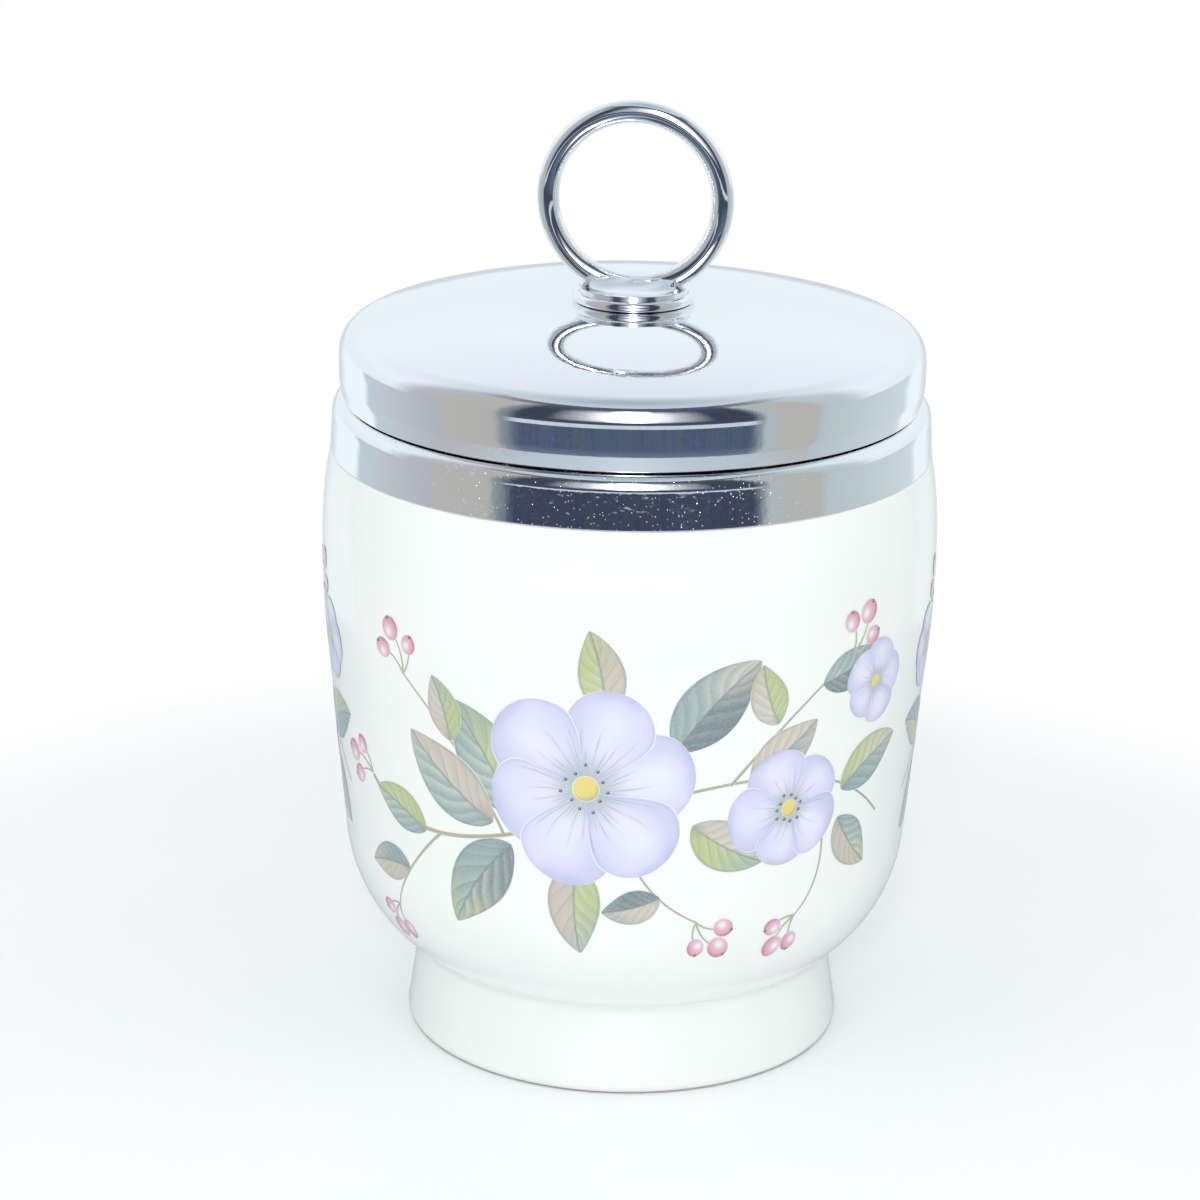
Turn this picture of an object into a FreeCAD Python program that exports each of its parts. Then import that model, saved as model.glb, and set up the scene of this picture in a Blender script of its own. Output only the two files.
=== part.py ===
import FreeCAD, Part
import math
import os
import re
import Sketcher

# Porcelain egg coddler: a bone-china cup with a screw collar on its rim, and a screw-on metal lid with a
# wire ring to lift it by. Millimetres, +Z up, with the origin at the middle of the foot's resting plane.
# The ring stands in the XZ plane.

DIMENSIONS = (
    # cup, radii
    ("mouth_radius", 24.2, "inside of the cup's mouth"),
    ("rim_wall", 2.9, "porcelain at the rim"),
    ("belly_overhang", 8.2, "how far the belly stands out past the mouth's edge"),
    ("shoulder_inset", 0.95, "how far the band's seat lies inside the belly"),
    ("base_inset", 3.1, "how far the bowl has drawn in at its lower corner"),
    ("waist_inset", 10.3, "how far the waist above the foot lies inside the belly"),
    ("foot_inset", 8.95, "how far the flared foot lies inside the belly"),
    ("foot_wall", 2.3, "width of the foot ring where it rests"),
    ("foot_wall_top", 2.8, "thickness of the foot ring at the waist"),
    ("wall", 3.2, "thickness of the bowl's side"),
    # cup, heights
    ("foot_height", 9.3, "table to waist"),
    ("base_rise", 5.2, "waist to the bowl's lower corner"),
    ("side_height", 34.2, "tapering side of the bowl"),
    ("belly_height", 10.5, "belly, between its two corners"),
    ("shoulder_height", 4.7, "belly's upper corner to the band's seat"),
    ("recess_depth", 7.0, "hollow under the foot"),
    ("floor_thickness", 3.3, "floor of the bowl"),
    ("throat_below_seat", 0.9, "inside, the throat starts this far under the band's seat"),
    ("throat_height", 7.6, "inside, the slope from the bowl in to the mouth"),
    # cup, roundings
    ("foot_edge_round", 0.9, "outer edge of the foot"),
    ("foot_inner_round", 0.5, "inner edge of the foot"),
    ("waist_round", 0.9, "waist between foot and bowl"),
    ("base_round", 16.6, "lower corner of the bowl"),
    ("side_round", 110.0, "side into belly"),
    ("shoulder_round", 45.0, "belly into shoulder"),
    ("seat_round", 0.3, "edge of the band's seat"),
    ("recess_round", 2.0, "corner of the hollow under the foot"),
    ("step_round", 0.6, "step of the rim under the collar"),
    ("rim_round", 1.2, "both edges of the rim"),
    ("throat_round", 6.0, "both corners of the slope inside"),
    ("bowl_round", 12.5, "inside corner at the floor"),
    ("inner_side_round", 60.0, "inside, side into belly"),
    # collar
    ("cement", 0.3, "bed of cement between porcelain and collar"),
    ("band_wall", 0.8, "sheet of the collar's band"),
    ("band_draft", 0.3, "how much narrower the band is at its top"),
    ("band_height", 5.5, "visible band of the collar"),
    ("band_round", 1.3, "rounded shoulder of the band"),
    ("band_top_wall", 0.8, "sheet of the collar's ledge"),
    ("neck_wall", 0.8, "sheet of the collar's neck"),
    ("neck_height", 5.8, "collar's neck above its ledge"),
    ("neck_round", 0.3, "edges of the collar's neck"),
    ("rim_above_neck", 1.2, "how far the porcelain rim stands above the neck"),
    # thread
    ("thread_pitch", 3.2, "rise in one turn"),
    ("thread_height", 0.5, "how far a ridge stands out of its wall"),
    ("thread_root", 0.25, "how deep a ridge is rooted in its wall"),
    ("thread_half_width", 0.62, "half the width of a ridge at its root"),
    ("thread_clearance", 0.2, "crest of one ridge to the wall it faces"),
    ("thread_start", 1.0, "ledge to the middle of the collar ridge's lower end"),
    ("collar_thread_turns", 1.2, "turns of ridge on the collar"),
    ("lid_thread_turns", 0.8, "turns of ridge in the lid"),
    ("lid_thread_lead", 0.36, "turns by which the lid's ridge starts before the collar's"),
    # lid
    ("skirt_gap", 0.3, "collar's ledge to the lid's lower edge"),
    ("lid_sheet", 0.7, "sheet of the lid"),
    ("lid_height", 9.75, "lid's lower edge to the top of its plate"),
    ("crown_width", 10.7, "plate's corner to the lid's side"),
    ("crown_drop", 3.25, "fall of the plate from its middle to the lid's side"),
    ("crown_straight", 0.5, "straight stretch between the plate's curve and the knuckle"),
    ("knuckle_round", 2.76, "plate into skirt"),
    ("tuck_height", 1.9, "how high the skirt's tucked-in lower edge starts"),
    ("tuck", 0.3, "how far the skirt's lower edge is tucked in"),
    ("tuck_round", 5.0, "skirt into its tuck"),
    ("edge_round", 0.15, "lower edge of the skirt"),
    ("thread_ring_wall", 0.9, "wall of the lid's thread ring"),
    ("thread_ring_height", 3.9, "height of the lid's thread ring"),
    ("thread_ring_raise", 0.4, "thread ring above the lid's lower edge"),
    # handle
    ("ring_radius", 9.1, "middle of the wire, ring"),
    ("wire_radius", 1.15, "wire of the ring"),
    ("ring_seat", 0.35, "plate to the underside of the ring's wire"),
    ("saddle_radius", 6.4, "bead of the saddle"),
    ("saddle_height", 1.15, "bead of the saddle"),
    ("saddle_bead_round", 0.5, "edge of the bead"),
    ("saddle_undercut", 0.75, "depth of the groove above the bead"),
    ("dish_rim_inset", 0.45, "how far the dish's lip lies inside the bead"),
    ("dish_rim_height", 0.3, "thickness of the dish's lip"),
    ("dish_groove_height", 0.25, "groove between bead and lip"),
    ("dish_depth", 0.25, "hollow of the dish"),
    ("dish_edge_round", 0.1, "edge of the dish's lip"),
    ("solder_width", 2.5, "half the width of the solder along the wire"),
    ("solder_rise", 0.9, "solder above the dish's lip"),
    ("spigot_radius", 1.6, "spigot through the plate"),
    ("spigot_play", 0.05, "spigot in the plate's hole and in the washer"),
    ("peen_radius", 2.9, "peened end of the spigot"),
    ("peen_height", 0.6, "peened end of the spigot"),
    ("washer_radius", 5.0, "washer under the plate"),
    ("washer_height", 0.6, "washer under the plate"),
    ("washer_play", 0.03, "washer to the plate and to the peened end"),
)

# Heights and radii that several pieces share, each written once from the dimensions above.
DERIVED = (
    ("belly_radius", "mouth_radius + belly_overhang"),
    ("base_radius", "belly_radius - base_inset"),
    ("waist_radius", "belly_radius - waist_inset"),
    ("foot_radius", "belly_radius - foot_inset"),
    ("base_level", "foot_height + base_rise"),
    ("side_top", "base_level + side_height"),
    ("belly_top", "side_top + belly_height"),
    ("seat_level", "belly_top + shoulder_height"),
    ("seat_radius", "belly_radius - shoulder_inset"),
    ("step_radius", "seat_radius - band_wall - cement"),
    ("rim_radius", "mouth_radius + rim_wall"),
    ("ledge_level", "seat_level + band_height"),
    ("step_level", "ledge_level - band_top_wall - cement"),
    ("neck_top", "ledge_level + neck_height"),
    ("rim_level", "neck_top + rim_above_neck"),
    ("neck_bore", "rim_radius + cement"),
    ("neck_radius", "neck_bore + neck_wall"),
    ("floor_level", "recess_depth + floor_thickness"),
    ("throat_level", "seat_level - throat_below_seat"),
    ("throat_top", "throat_level + throat_height"),
    ("bowl_radius", "belly_radius - wall"),
    ("thread_ring_bore", "neck_radius + thread_height + thread_clearance"),
    ("skirt_bore", "thread_ring_bore + thread_ring_wall"),
    ("lid_radius", "skirt_bore + lid_sheet"),
    ("skirt_level", "ledge_level + skirt_gap"),
    ("plate_level", "skirt_level + lid_height"),
    ("plate_underside", "plate_level - lid_sheet"),
    ("crown_corner", "lid_radius - crown_width"),
    ("crown_length", "sqrt(crown_width ^ 2 + crown_drop ^ 2)"),
    ("knuckle_reach", "knuckle_round * (crown_length - crown_drop) / crown_width"),
    ("crown_reach", "crown_length - knuckle_reach - crown_straight"),
    ("crown_round", "crown_reach * crown_drop / (crown_length - crown_width)"),
    ("thread_ring_level", "skirt_level + thread_ring_raise"),
    ("bead_top", "plate_level + saddle_height"),
    ("lip_level", "bead_top + dish_groove_height"),
    ("lip_top", "lip_level + dish_rim_height"),
    ("lip_radius", "saddle_radius - dish_rim_inset"),
    ("washer_level", "plate_underside - washer_play - washer_height"),
    ("peen_level", "washer_level - washer_play - peen_height"),
    ("ring_level", "plate_level + ring_seat + wire_radius + ring_radius"),
)

doc = FreeCAD.newDocument("egg_coddler")
sheet = doc.addObject("Spreadsheet::Sheet", "Sizes")
sheet.set("A1", "size")
sheet.set("B1", "mm or turns")
sheet.set("C1", "what it measures")
for row, (alias, value, meaning) in enumerate(DIMENSIONS, start=2):
    sheet.set("A%d" % row, alias)
    sheet.set("B%d" % row, str(value))
    sheet.setAlias("B%d" % row, alias)
    sheet.set("C%d" % row, meaning)
doc.recompute()

SHARED = dict(DERIVED)
WORD = re.compile(r"[a-z][a-z_]+")
FUNCTIONS = ("cos", "sin", "tan", "sqrt", "deg")


def bound(text):
    """Writes an expression on the sheet: every size by its cell, every shared value by its formula."""
    def replace(match):
        word = match.group(0)
        if word in FUNCTIONS:
            return word
        if word in SHARED:
            return "(" + bound(SHARED[word]) + ")"
        return "Sizes." + word
    return WORD.sub(replace, text)


def number(text):
    """Value of an expression at the sheet's present sizes."""
    return float(sheet.evalExpression(bound(text)))


def bind(item, path, text):
    """Binds one property of an object to the sheet."""
    item.setExpression(path, bound(text))


def unit(dx, dy):
    """Direction of a vector of the plane, one long."""
    length = math.hypot(dx, dy)
    return dx / length, dy / length


def rounded_corner(before, corner, after, radius):
    """Arc tangent to both sides of a corner: its centre, its two ends and whether it turns left."""
    ax, ay = unit(corner[0] - before[0], corner[1] - before[1])
    bx, by = unit(after[0] - corner[0], after[1] - corner[1])
    cross = ax * by - ay * bx
    turn = math.atan2(abs(cross), ax * bx + ay * by)
    reach = radius * math.tan(turn / 2)
    side = 1 if cross > 0 else -1
    start = (corner[0] - ax * reach, corner[1] - ay * reach)
    end = (corner[0] + bx * reach, corner[1] + by * reach)
    centre = (start[0] - side * ay * radius, start[1] + side * ax * radius)
    return centre, start, end, side > 0


def place_point(constraints, names, geometry, position, corner, tag):
    """Fixes a point of the outline at its two expressions, or on an axis where one is 0."""
    for axis, kind, text in ((-2, "DistanceX", corner[0]), (-1, "DistanceY", corner[1])):
        if text == "0":
            constraints.append(Sketcher.Constraint("PointOnObject", geometry, position, axis))
            continue
        names.append((len(constraints), "%s_%s" % (tag, kind[-1].lower()), text))
        constraints.append(Sketcher.Constraint(kind, -1, 1, geometry, position, number(text)))


def draw_outline(sketch, corners):
    """Closed outline through (radius, height, rounding) corners, all of them bound to the sheet."""
    points = [(number(corner[0]), number(corner[1])) for corner in corners]
    count = len(corners)
    arcs = {}
    for index, corner in enumerate(corners):
        if corner[2]:
            before, after = points[index - 1], points[(index + 1) % count]
            arcs[index] = rounded_corner(before, points[index], after, number(corner[2]))
    lines = []
    constraints = []
    names = []
    for index in range(count):
        following = (index + 1) % count
        start = arcs[index][2] if index in arcs else points[index]
        end = arcs[following][1] if following in arcs else points[following]
        segment = Part.LineSegment(FreeCAD.Vector(*start, 0), FreeCAD.Vector(*end, 0))
        lines.append(sketch.addGeometry(segment, False))
    for index, corner in enumerate(corners):
        incoming, outgoing = lines[index - 1], lines[index]
        tag = "corner_%d" % index
        if index not in arcs:
            constraints.append(Sketcher.Constraint("Coincident", incoming, 2, outgoing, 1))
            place_point(constraints, names, outgoing, 1, corner, tag)
            continue
        centre, start, end, left = arcs[index]
        first, last = (start, end) if left else (end, start)
        angles = [math.atan2(point[1] - centre[1], point[0] - centre[0]) for point in (first, last)]
        radius = number(corner[2])
        circle = Part.Circle(FreeCAD.Vector(*centre, 0), FreeCAD.Vector(0, 0, 1), radius)
        arc = sketch.addGeometry(Part.ArcOfCircle(circle, angles[0], angles[1]), False)
        near, far = (1, 2) if left else (2, 1)
        constraints.append(Sketcher.Constraint("Tangent", incoming, 2, arc, near))
        constraints.append(Sketcher.Constraint("Tangent", arc, far, outgoing, 1))
        names.append((len(constraints), tag + "_round", corner[2]))
        constraints.append(Sketcher.Constraint("Radius", arc, radius))
        point = sketch.addGeometry(Part.Point(FreeCAD.Vector(*points[index], 0)), True)
        constraints.append(Sketcher.Constraint("PointOnObject", point, 1, incoming))
        constraints.append(Sketcher.Constraint("PointOnObject", point, 1, outgoing))
        place_point(constraints, names, point, 1, corner, tag)
    sketch.addConstraint(constraints)
    for index, name, text in names:
        sketch.renameConstraint(index, name)
        bind(sketch, "Constraints." + name, text)


def turned_body(name, corners):
    """Body turned a full circle about Z from an outline in the XZ plane."""
    body = doc.addObject("PartDesign::Body", name)
    sketch = body.newObject("Sketcher::SketchObject", name + "_outline")
    plane = [item for item in body.Origin.OriginFeatures if item.Role == "XZ_Plane"][0]
    sketch.AttachmentSupport = [(plane, "")]
    sketch.MapMode = "FlatFace"
    draw_outline(sketch, corners)
    turn = body.newObject("PartDesign::Revolution", name + "_turn")
    turn.Profile = sketch
    turn.ReferenceAxis = (sketch, ["V_Axis"])
    turn.Angle = 360
    body.Tip = turn
    return body


def thread_ridge(name, crest, root, level, turns, lead):
    """Right-hand ridge: a rounded section from its root to its crest, swept along a helix that starts
    the lead, in turns, before the XZ plane."""
    about_z = FreeCAD.Rotation(FreeCAD.Vector(0, 0, 1), -360 * number(lead))
    upright = FreeCAD.Rotation(FreeCAD.Vector(1, 0, 0), 90)
    spine = doc.addObject("Part::Helix", name + "_spine")
    spine.Placement.Rotation = about_z
    bind(spine, "Pitch", "thread_pitch")
    bind(spine, "Height", "thread_pitch * " + turns)
    bind(spine, "Radius", root)
    bind(spine, "Placement.Base.z", level)
    section = doc.addObject("Sketcher::SketchObject", name + "_section")
    section.Placement = FreeCAD.Placement(FreeCAD.Vector(), about_z.multiply(upright))
    low = (root, level + " - thread_half_width")
    high = (root, level + " + thread_half_width")
    ends = [FreeCAD.Vector(number(point[0]), number(point[1]), 0) for point in (low, high)]
    middle = FreeCAD.Vector(number(crest), number(level), 0)
    arc = Part.Arc(ends[0], middle, ends[1])
    outward = number(crest) > number(root)
    curve = section.addGeometry(arc, False)
    chord = section.addGeometry(Part.LineSegment(ends[0], ends[1]), False)
    top = section.addGeometry(Part.Point(middle), True)
    bottom_end, top_end = (1, 2) if outward else (2, 1)
    constraints = [
        Sketcher.Constraint("Coincident", curve, bottom_end, chord, 1),
        Sketcher.Constraint("Coincident", curve, top_end, chord, 2),
        Sketcher.Constraint("PointOnObject", top, 1, curve),
    ]
    names = []
    place_point(constraints, names, chord, 1, low, "low")
    place_point(constraints, names, chord, 2, high, "high")
    place_point(constraints, names, top, 1, (crest, level), "crest")
    section.addConstraint(constraints)
    for index, label, text in names:
        section.renameConstraint(index, label)
        bind(section, "Constraints." + label, text)
    ridge = doc.addObject("Part::Sweep", name + "_ridge")
    ridge.Sections = [section]
    ridge.Spine = (spine, [])
    ridge.Solid = True
    ridge.Frenet = True
    return ridge


def fused(name, base, tool):
    """Two solids made one."""
    result = doc.addObject("Part::Fuse", name)
    result.Base = base
    result.Tool = tool
    return result


def cut(name, base, tool):
    """One solid with another taken out of it."""
    result = doc.addObject("Part::Cut", name)
    result.Base = base
    result.Tool = tool
    return result


# Cup: one casting. Outside from the foot up to the rim, then inside down to the floor, then the hollow
# under the foot.
porcelain_cup = turned_body("porcelain_cup", (
    ("foot_radius", "0", "foot_edge_round"),
    ("waist_radius", "foot_height", "waist_round"),
    ("base_radius", "base_level", "base_round"),
    ("belly_radius", "side_top", "side_round"),
    ("belly_radius", "belly_top", "shoulder_round"),
    ("seat_radius", "seat_level", "seat_round"),
    ("step_radius", "seat_level", None),
    ("step_radius", "step_level", "step_round"),
    ("rim_radius", "step_level", None),
    ("rim_radius", "rim_level", "rim_round"),
    ("mouth_radius", "rim_level", "rim_round"),
    ("mouth_radius", "throat_top", "throat_round"),
    ("bowl_radius", "throat_level", "throat_round"),
    ("bowl_radius", "side_top", "inner_side_round"),
    ("base_radius - wall", "floor_level", "bowl_round"),
    ("0", "floor_level", None),
    ("0", "recess_depth", None),
    ("waist_radius - foot_wall_top", "recess_depth", "recess_round"),
    ("foot_radius - foot_wall", "0", "foot_inner_round"),
))

# Cement: fills the space between the stepped rim and the collar.
collar_cement = turned_body("collar_cement", (
    ("step_radius", "seat_level", None),
    ("step_radius + cement", "seat_level", None),
    ("step_radius + cement", "step_level + cement", "step_round + cement"),
    ("neck_bore", "step_level + cement", None),
    ("neck_bore", "neck_top - neck_round", None),
    ("rim_radius", "neck_top - neck_round", None),
    ("rim_radius", "step_level", None),
    ("step_radius", "step_level", "step_round"),
))

# Screw collar: visible band, rounded shoulder, ledge and threaded neck.
collar_shell = turned_body("collar_shell", (
    ("seat_radius", "seat_level", None),
    ("seat_radius - band_draft", "ledge_level", "band_round"),
    ("neck_radius", "ledge_level", "neck_round"),
    ("neck_radius", "neck_top", "neck_round"),
    ("neck_bore", "neck_top", None),
    ("neck_bore", "step_level + cement", None),
    ("step_radius + cement", "step_level + cement", "step_round + cement"),
    ("step_radius + cement", "seat_level", None),
))
collar_ridge = thread_ridge(
    "collar_thread", "neck_radius + thread_height", "neck_radius - thread_root",
    "ledge_level + thread_start", "collar_thread_turns", "0")
screw_collar = fused("screw_collar", collar_shell, collar_ridge)

# Lid: flat-middled crown, knuckle, skirt with its lower edge tucked in, and a hole for the spigot.
CROWN_SLOPE = "crown_drop / crown_width"
lid_shell = turned_body("lid_shell", (
    ("spigot_radius + spigot_play", "plate_level", None),
    ("spigot_radius + spigot_play", "plate_underside", None),
    ("crown_corner", "plate_underside", "crown_round - lid_sheet"),
    ("skirt_bore", "plate_underside - crown_drop + lid_sheet * " + CROWN_SLOPE, "knuckle_round - lid_sheet"),
    ("skirt_bore", "skirt_level", None),
    ("lid_radius - tuck", "skirt_level", "edge_round"),
    ("lid_radius", "skirt_level + tuck_height", "tuck_round"),
    ("lid_radius", "plate_level - crown_drop", "knuckle_round"),
    ("crown_corner", "plate_level", "crown_round"),
))

# Thread ring inside the skirt. All round, its ridge lies half a pitch above the collar's.
thread_ring_wall = turned_body("thread_ring_body", (
    ("thread_ring_bore", "thread_ring_level", None),
    ("skirt_bore", "thread_ring_level", None),
    ("skirt_bore", "thread_ring_level + thread_ring_height", None),
    ("thread_ring_bore", "thread_ring_level + thread_ring_height", None),
))
lid_ridge = thread_ridge(
    "lid_thread", "thread_ring_bore - thread_height", "thread_ring_bore + thread_root",
    "ledge_level + thread_start + thread_pitch * (1 / 2 - lid_thread_lead)", "lid_thread_turns",
    "lid_thread_lead")
lid_thread_ring = fused("lid_thread_ring", thread_ring_wall, lid_ridge)

# Ring: round wire, upright in the XZ plane.
lifting_ring = doc.addObject("Part::Torus", "lifting_ring")
bind(lifting_ring, "Radius1", "ring_radius")
bind(lifting_ring, "Radius2", "wire_radius")
lifting_ring.Placement.Rotation = FreeCAD.Rotation(FreeCAD.Vector(1, 0, 0), 90)
bind(lifting_ring, "Placement.Base.z", "ring_level")

# Saddle: beaded disc, groove, dished lip, and the spigot with its peened end below.
saddle_turning = turned_body("saddle_turning", (
    ("0", "peen_level", None),
    ("peen_radius", "peen_level", "peen_height / 2"),
    ("peen_radius", "peen_level + peen_height", None),
    ("spigot_radius", "peen_level + peen_height", None),
    ("spigot_radius", "plate_level", None),
    ("saddle_radius", "plate_level", "saddle_bead_round"),
    ("saddle_radius", "bead_top", "saddle_bead_round"),
    ("lip_radius - saddle_undercut", "bead_top", None),
    ("lip_radius - saddle_undercut", "lip_level", None),
    ("lip_radius", "lip_top - dish_rim_height / 2", "dish_edge_round"),
    ("lip_radius - dish_rim_height", "lip_top", "dish_edge_round"),
    ("lip_radius / 2", "lip_top - dish_depth", None),
    ("0", "lip_top - dish_depth", None),
))
solder = doc.addObject("Part::Ellipsoid", "saddle_solder")
bind(solder, "Radius1", "solder_rise + dish_depth")
bind(solder, "Radius2", "lip_radius")
bind(solder, "Radius3", "solder_width")
bind(solder, "Placement.Base.z", "lip_top - dish_depth")
ring_saddle = cut("ring_saddle", fused("saddle_with_solder", saddle_turning, solder), lifting_ring)

# Washer between the plate and the peened end.
spigot_washer = turned_body("spigot_washer", (
    ("spigot_radius + spigot_play", "washer_level", None),
    ("washer_radius", "washer_level", None),
    ("washer_radius", "washer_level + washer_height", None),
    ("spigot_radius + spigot_play", "washer_level + washer_height", None),
))

PIECES = (
    porcelain_cup, collar_cement, screw_collar, lid_shell,
    lid_thread_ring, ring_saddle, spigot_washer, lifting_ring,
)

doc.recompute()
for item in doc.Objects:
    if {"Invalid", "Error"} & set(item.State):
        raise RuntimeError("%s failed: %s" % (item.Label, item.State))
for piece in PIECES:
    if piece.Shape.isNull() or not piece.Shape.isValid() or len(piece.Shape.Solids) != 1:
        raise RuntimeError("%s has no sound single solid" % piece.Label)

os.makedirs("parts", exist_ok=True)
for piece in PIECES:
    piece.Shape.exportStep("parts/%s.step" % piece.Label)
    box = piece.Shape.optimalBoundingBox(False)
    print("%-16s %9.1f mm3, z %.2f to %.2f, widest %.2f" % (
        piece.Label, piece.Shape.Volume, box.ZMin, box.ZMax, max(box.XLength, box.YLength)))
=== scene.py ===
"""Porcelain egg coddler: glazed bone-china cup, chromed screw collar, chromed lid and wire ring."""
import logging
import math
from dataclasses import dataclass, field
from enum import Enum
from typing import Iterable, Optional, Sequence

import bpy
import numpy as np
from mathutils import Matrix, Vector


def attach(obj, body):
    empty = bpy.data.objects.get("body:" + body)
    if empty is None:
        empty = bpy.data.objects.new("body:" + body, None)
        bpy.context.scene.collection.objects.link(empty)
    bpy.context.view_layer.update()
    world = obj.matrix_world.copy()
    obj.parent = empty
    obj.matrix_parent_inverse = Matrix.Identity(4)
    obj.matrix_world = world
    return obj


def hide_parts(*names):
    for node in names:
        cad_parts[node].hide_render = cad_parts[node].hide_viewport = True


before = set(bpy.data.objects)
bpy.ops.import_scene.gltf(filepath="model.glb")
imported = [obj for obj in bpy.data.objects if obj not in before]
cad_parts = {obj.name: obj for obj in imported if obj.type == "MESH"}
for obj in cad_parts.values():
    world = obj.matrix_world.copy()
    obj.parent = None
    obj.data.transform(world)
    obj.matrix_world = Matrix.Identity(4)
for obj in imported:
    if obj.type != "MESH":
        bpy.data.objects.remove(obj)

LOG = logging.getLogger("egg_coddler")
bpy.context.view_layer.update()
MM = 0.001
TAU = 2 * math.pi
IMAGE_PIXELS = 1200

Corner = tuple[float, float, float]
Stops = Sequence[tuple[float, object]]


class Body(Enum):
    """Bodies of the frame that pieces ride on."""

    CUP = "cup"
    LID = "lid"


class Slot(Enum):
    """Material slots of the record."""

    CHINA = "glazed_china"
    COLLAR = "collar_plate"
    LID = "lid_plate"
    HANDLE = "handle_plate"


def linear(colour: str) -> tuple[float, float, float, float]:
    """Turns an sRGB hex colour to linear.

    Args:
        colour: six hex digits after a hash sign.

    Returns:
        Linear red, green, blue and an alpha of 1.
    """
    values = [int(colour[place:place + 2], 16) / 255 for place in (1, 3, 5)]
    red, green, blue = (v / 12.92 if v <= 0.04045 else ((v + 0.055) / 1.055) ** 2.4 for v in values)
    return red, green, blue, 1.0


def add_node(tree: bpy.types.NodeTree, kind: str, settings: Optional[dict] = None, stops: Stops = (),
             **links: object) -> bpy.types.Node:
    """Adds a node with its settings, its ramp stops and its input values or links.

    Args:
        tree: the node tree.
        kind: the node's type name.
        settings: properties of the node by name.
        stops: for a ramp, places from 0 to 1 in order, each with its hex colour or grey value.
        links: inputs by name, with underscores for spaces, or in_ and their number. Each is a socket to
            link or a value to set.

    Returns:
        The new node.
    """
    node = tree.nodes.new(kind)
    for name, value in (settings or {}).items():
        setattr(node, name, value)
    if stops:
        elements = node.color_ramp.elements
        while len(elements) < len(stops):
            elements.new(1.0)
        for element, (place, colour) in zip(elements, stops):
            element.position = place
            element.color = linear(colour) if isinstance(colour, str) else (colour, colour, colour, 1.0)
    for name, value in links.items():
        key = int(name[3:]) if name.startswith("in_") and name[3:].isdigit() else name.replace("_", " ")
        socket = node.inputs[key]
        if isinstance(value, bpy.types.NodeSocket):
            tree.links.new(value, socket)
        else:
            socket.default_value = value
    return node


def new_material(name: str) -> tuple[bpy.types.Material, bpy.types.NodeTree, bpy.types.NodeSocket]:
    """Makes an empty node material.

    Args:
        name: the material's name.

    Returns:
        The material, its node tree and the socket of its object coordinates.
    """
    material = bpy.data.materials.new(name)
    material.use_nodes = True
    tree = material.node_tree
    tree.nodes.clear()
    return material, tree, add_node(tree, "ShaderNodeTexCoord").outputs["Object"]


@dataclass(frozen=True)
class BoneChinaGlaze:
    """Bone china, slip-cast and glazed, with the ring under the foot ground bare. Sizes in millimetres."""

    # The eye sees a cool greenish white with faint clouds under a hard, smooth gloss that ripples
    # slightly, and a matt gritty line where the foot was ground.
    body: str = "#eff3f0"
    shade: str = "#ebf1ee"
    bare: str = "#c3b8ab"
    bare_dark: str = "#a3978a"
    roughness: float = 0.09
    bare_roughness: float = 0.7
    ior: float = 1.52
    cloud: float = 14.0
    ripple: float = 9.0
    ripple_depth: float = 0.12
    ripple_share: float = 0.18
    grit: float = 0.35
    bare_height: float = 0.28

    def make(self) -> bpy.types.Material:
        """Builds the glaze, with the ground ring under the foot left bare.

        Returns:
            The material.
        """
        material, tree, place = new_material("glazed_bone_china")
        cloud = add_node(tree, "ShaderNodeTexNoise", Vector=place, Scale=1 / (self.cloud * MM), Detail=2.0)
        tone = add_node(tree, "ShaderNodeValToRGB", stops=((0.3, self.shade), (0.75, self.body)),
                        Fac=cloud.outputs["Fac"])
        height = add_node(tree, "ShaderNodeSeparateXYZ", Vector=place)
        bare = add_node(tree, "ShaderNodeMapRange", {"interpolation_type": "SMOOTHSTEP"},
                        Value=height.outputs["Z"], From_Min=self.bare_height * MM,
                        From_Max=0.4 * self.bare_height * MM)
        grit = add_node(tree, "ShaderNodeTexNoise", Vector=place, Scale=1 / (self.grit * MM), Detail=3.0)
        ground = add_node(tree, "ShaderNodeValToRGB", stops=((0.35, self.bare_dark), (0.65, self.bare)),
                          Fac=grit.outputs["Fac"])
        colour = add_node(tree, "ShaderNodeMix", {"data_type": "RGBA"}, Factor=bare.outputs["Result"],
                          in_6=tone.outputs["Color"], in_7=ground.outputs["Color"])
        gloss = add_node(tree, "ShaderNodeMapRange", Value=bare.outputs["Result"], To_Min=self.roughness,
                         To_Max=self.bare_roughness)
        ripple = add_node(tree, "ShaderNodeTexNoise", Vector=place, Scale=1 / (self.ripple * MM),
                          Detail=1.0)
        relief = add_node(tree, "ShaderNodeBump", Height=ripple.outputs["Fac"], Strength=self.ripple_share,
                          Distance=self.ripple_depth * MM)
        shader = add_node(tree, "ShaderNodeBsdfPrincipled", Base_Color=colour.outputs[2],
                          Roughness=gloss.outputs["Result"], Normal=relief.outputs["Normal"], IOR=self.ior)
        add_node(tree, "ShaderNodeOutputMaterial", Surface=shader.outputs["BSDF"])
        return material


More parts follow.
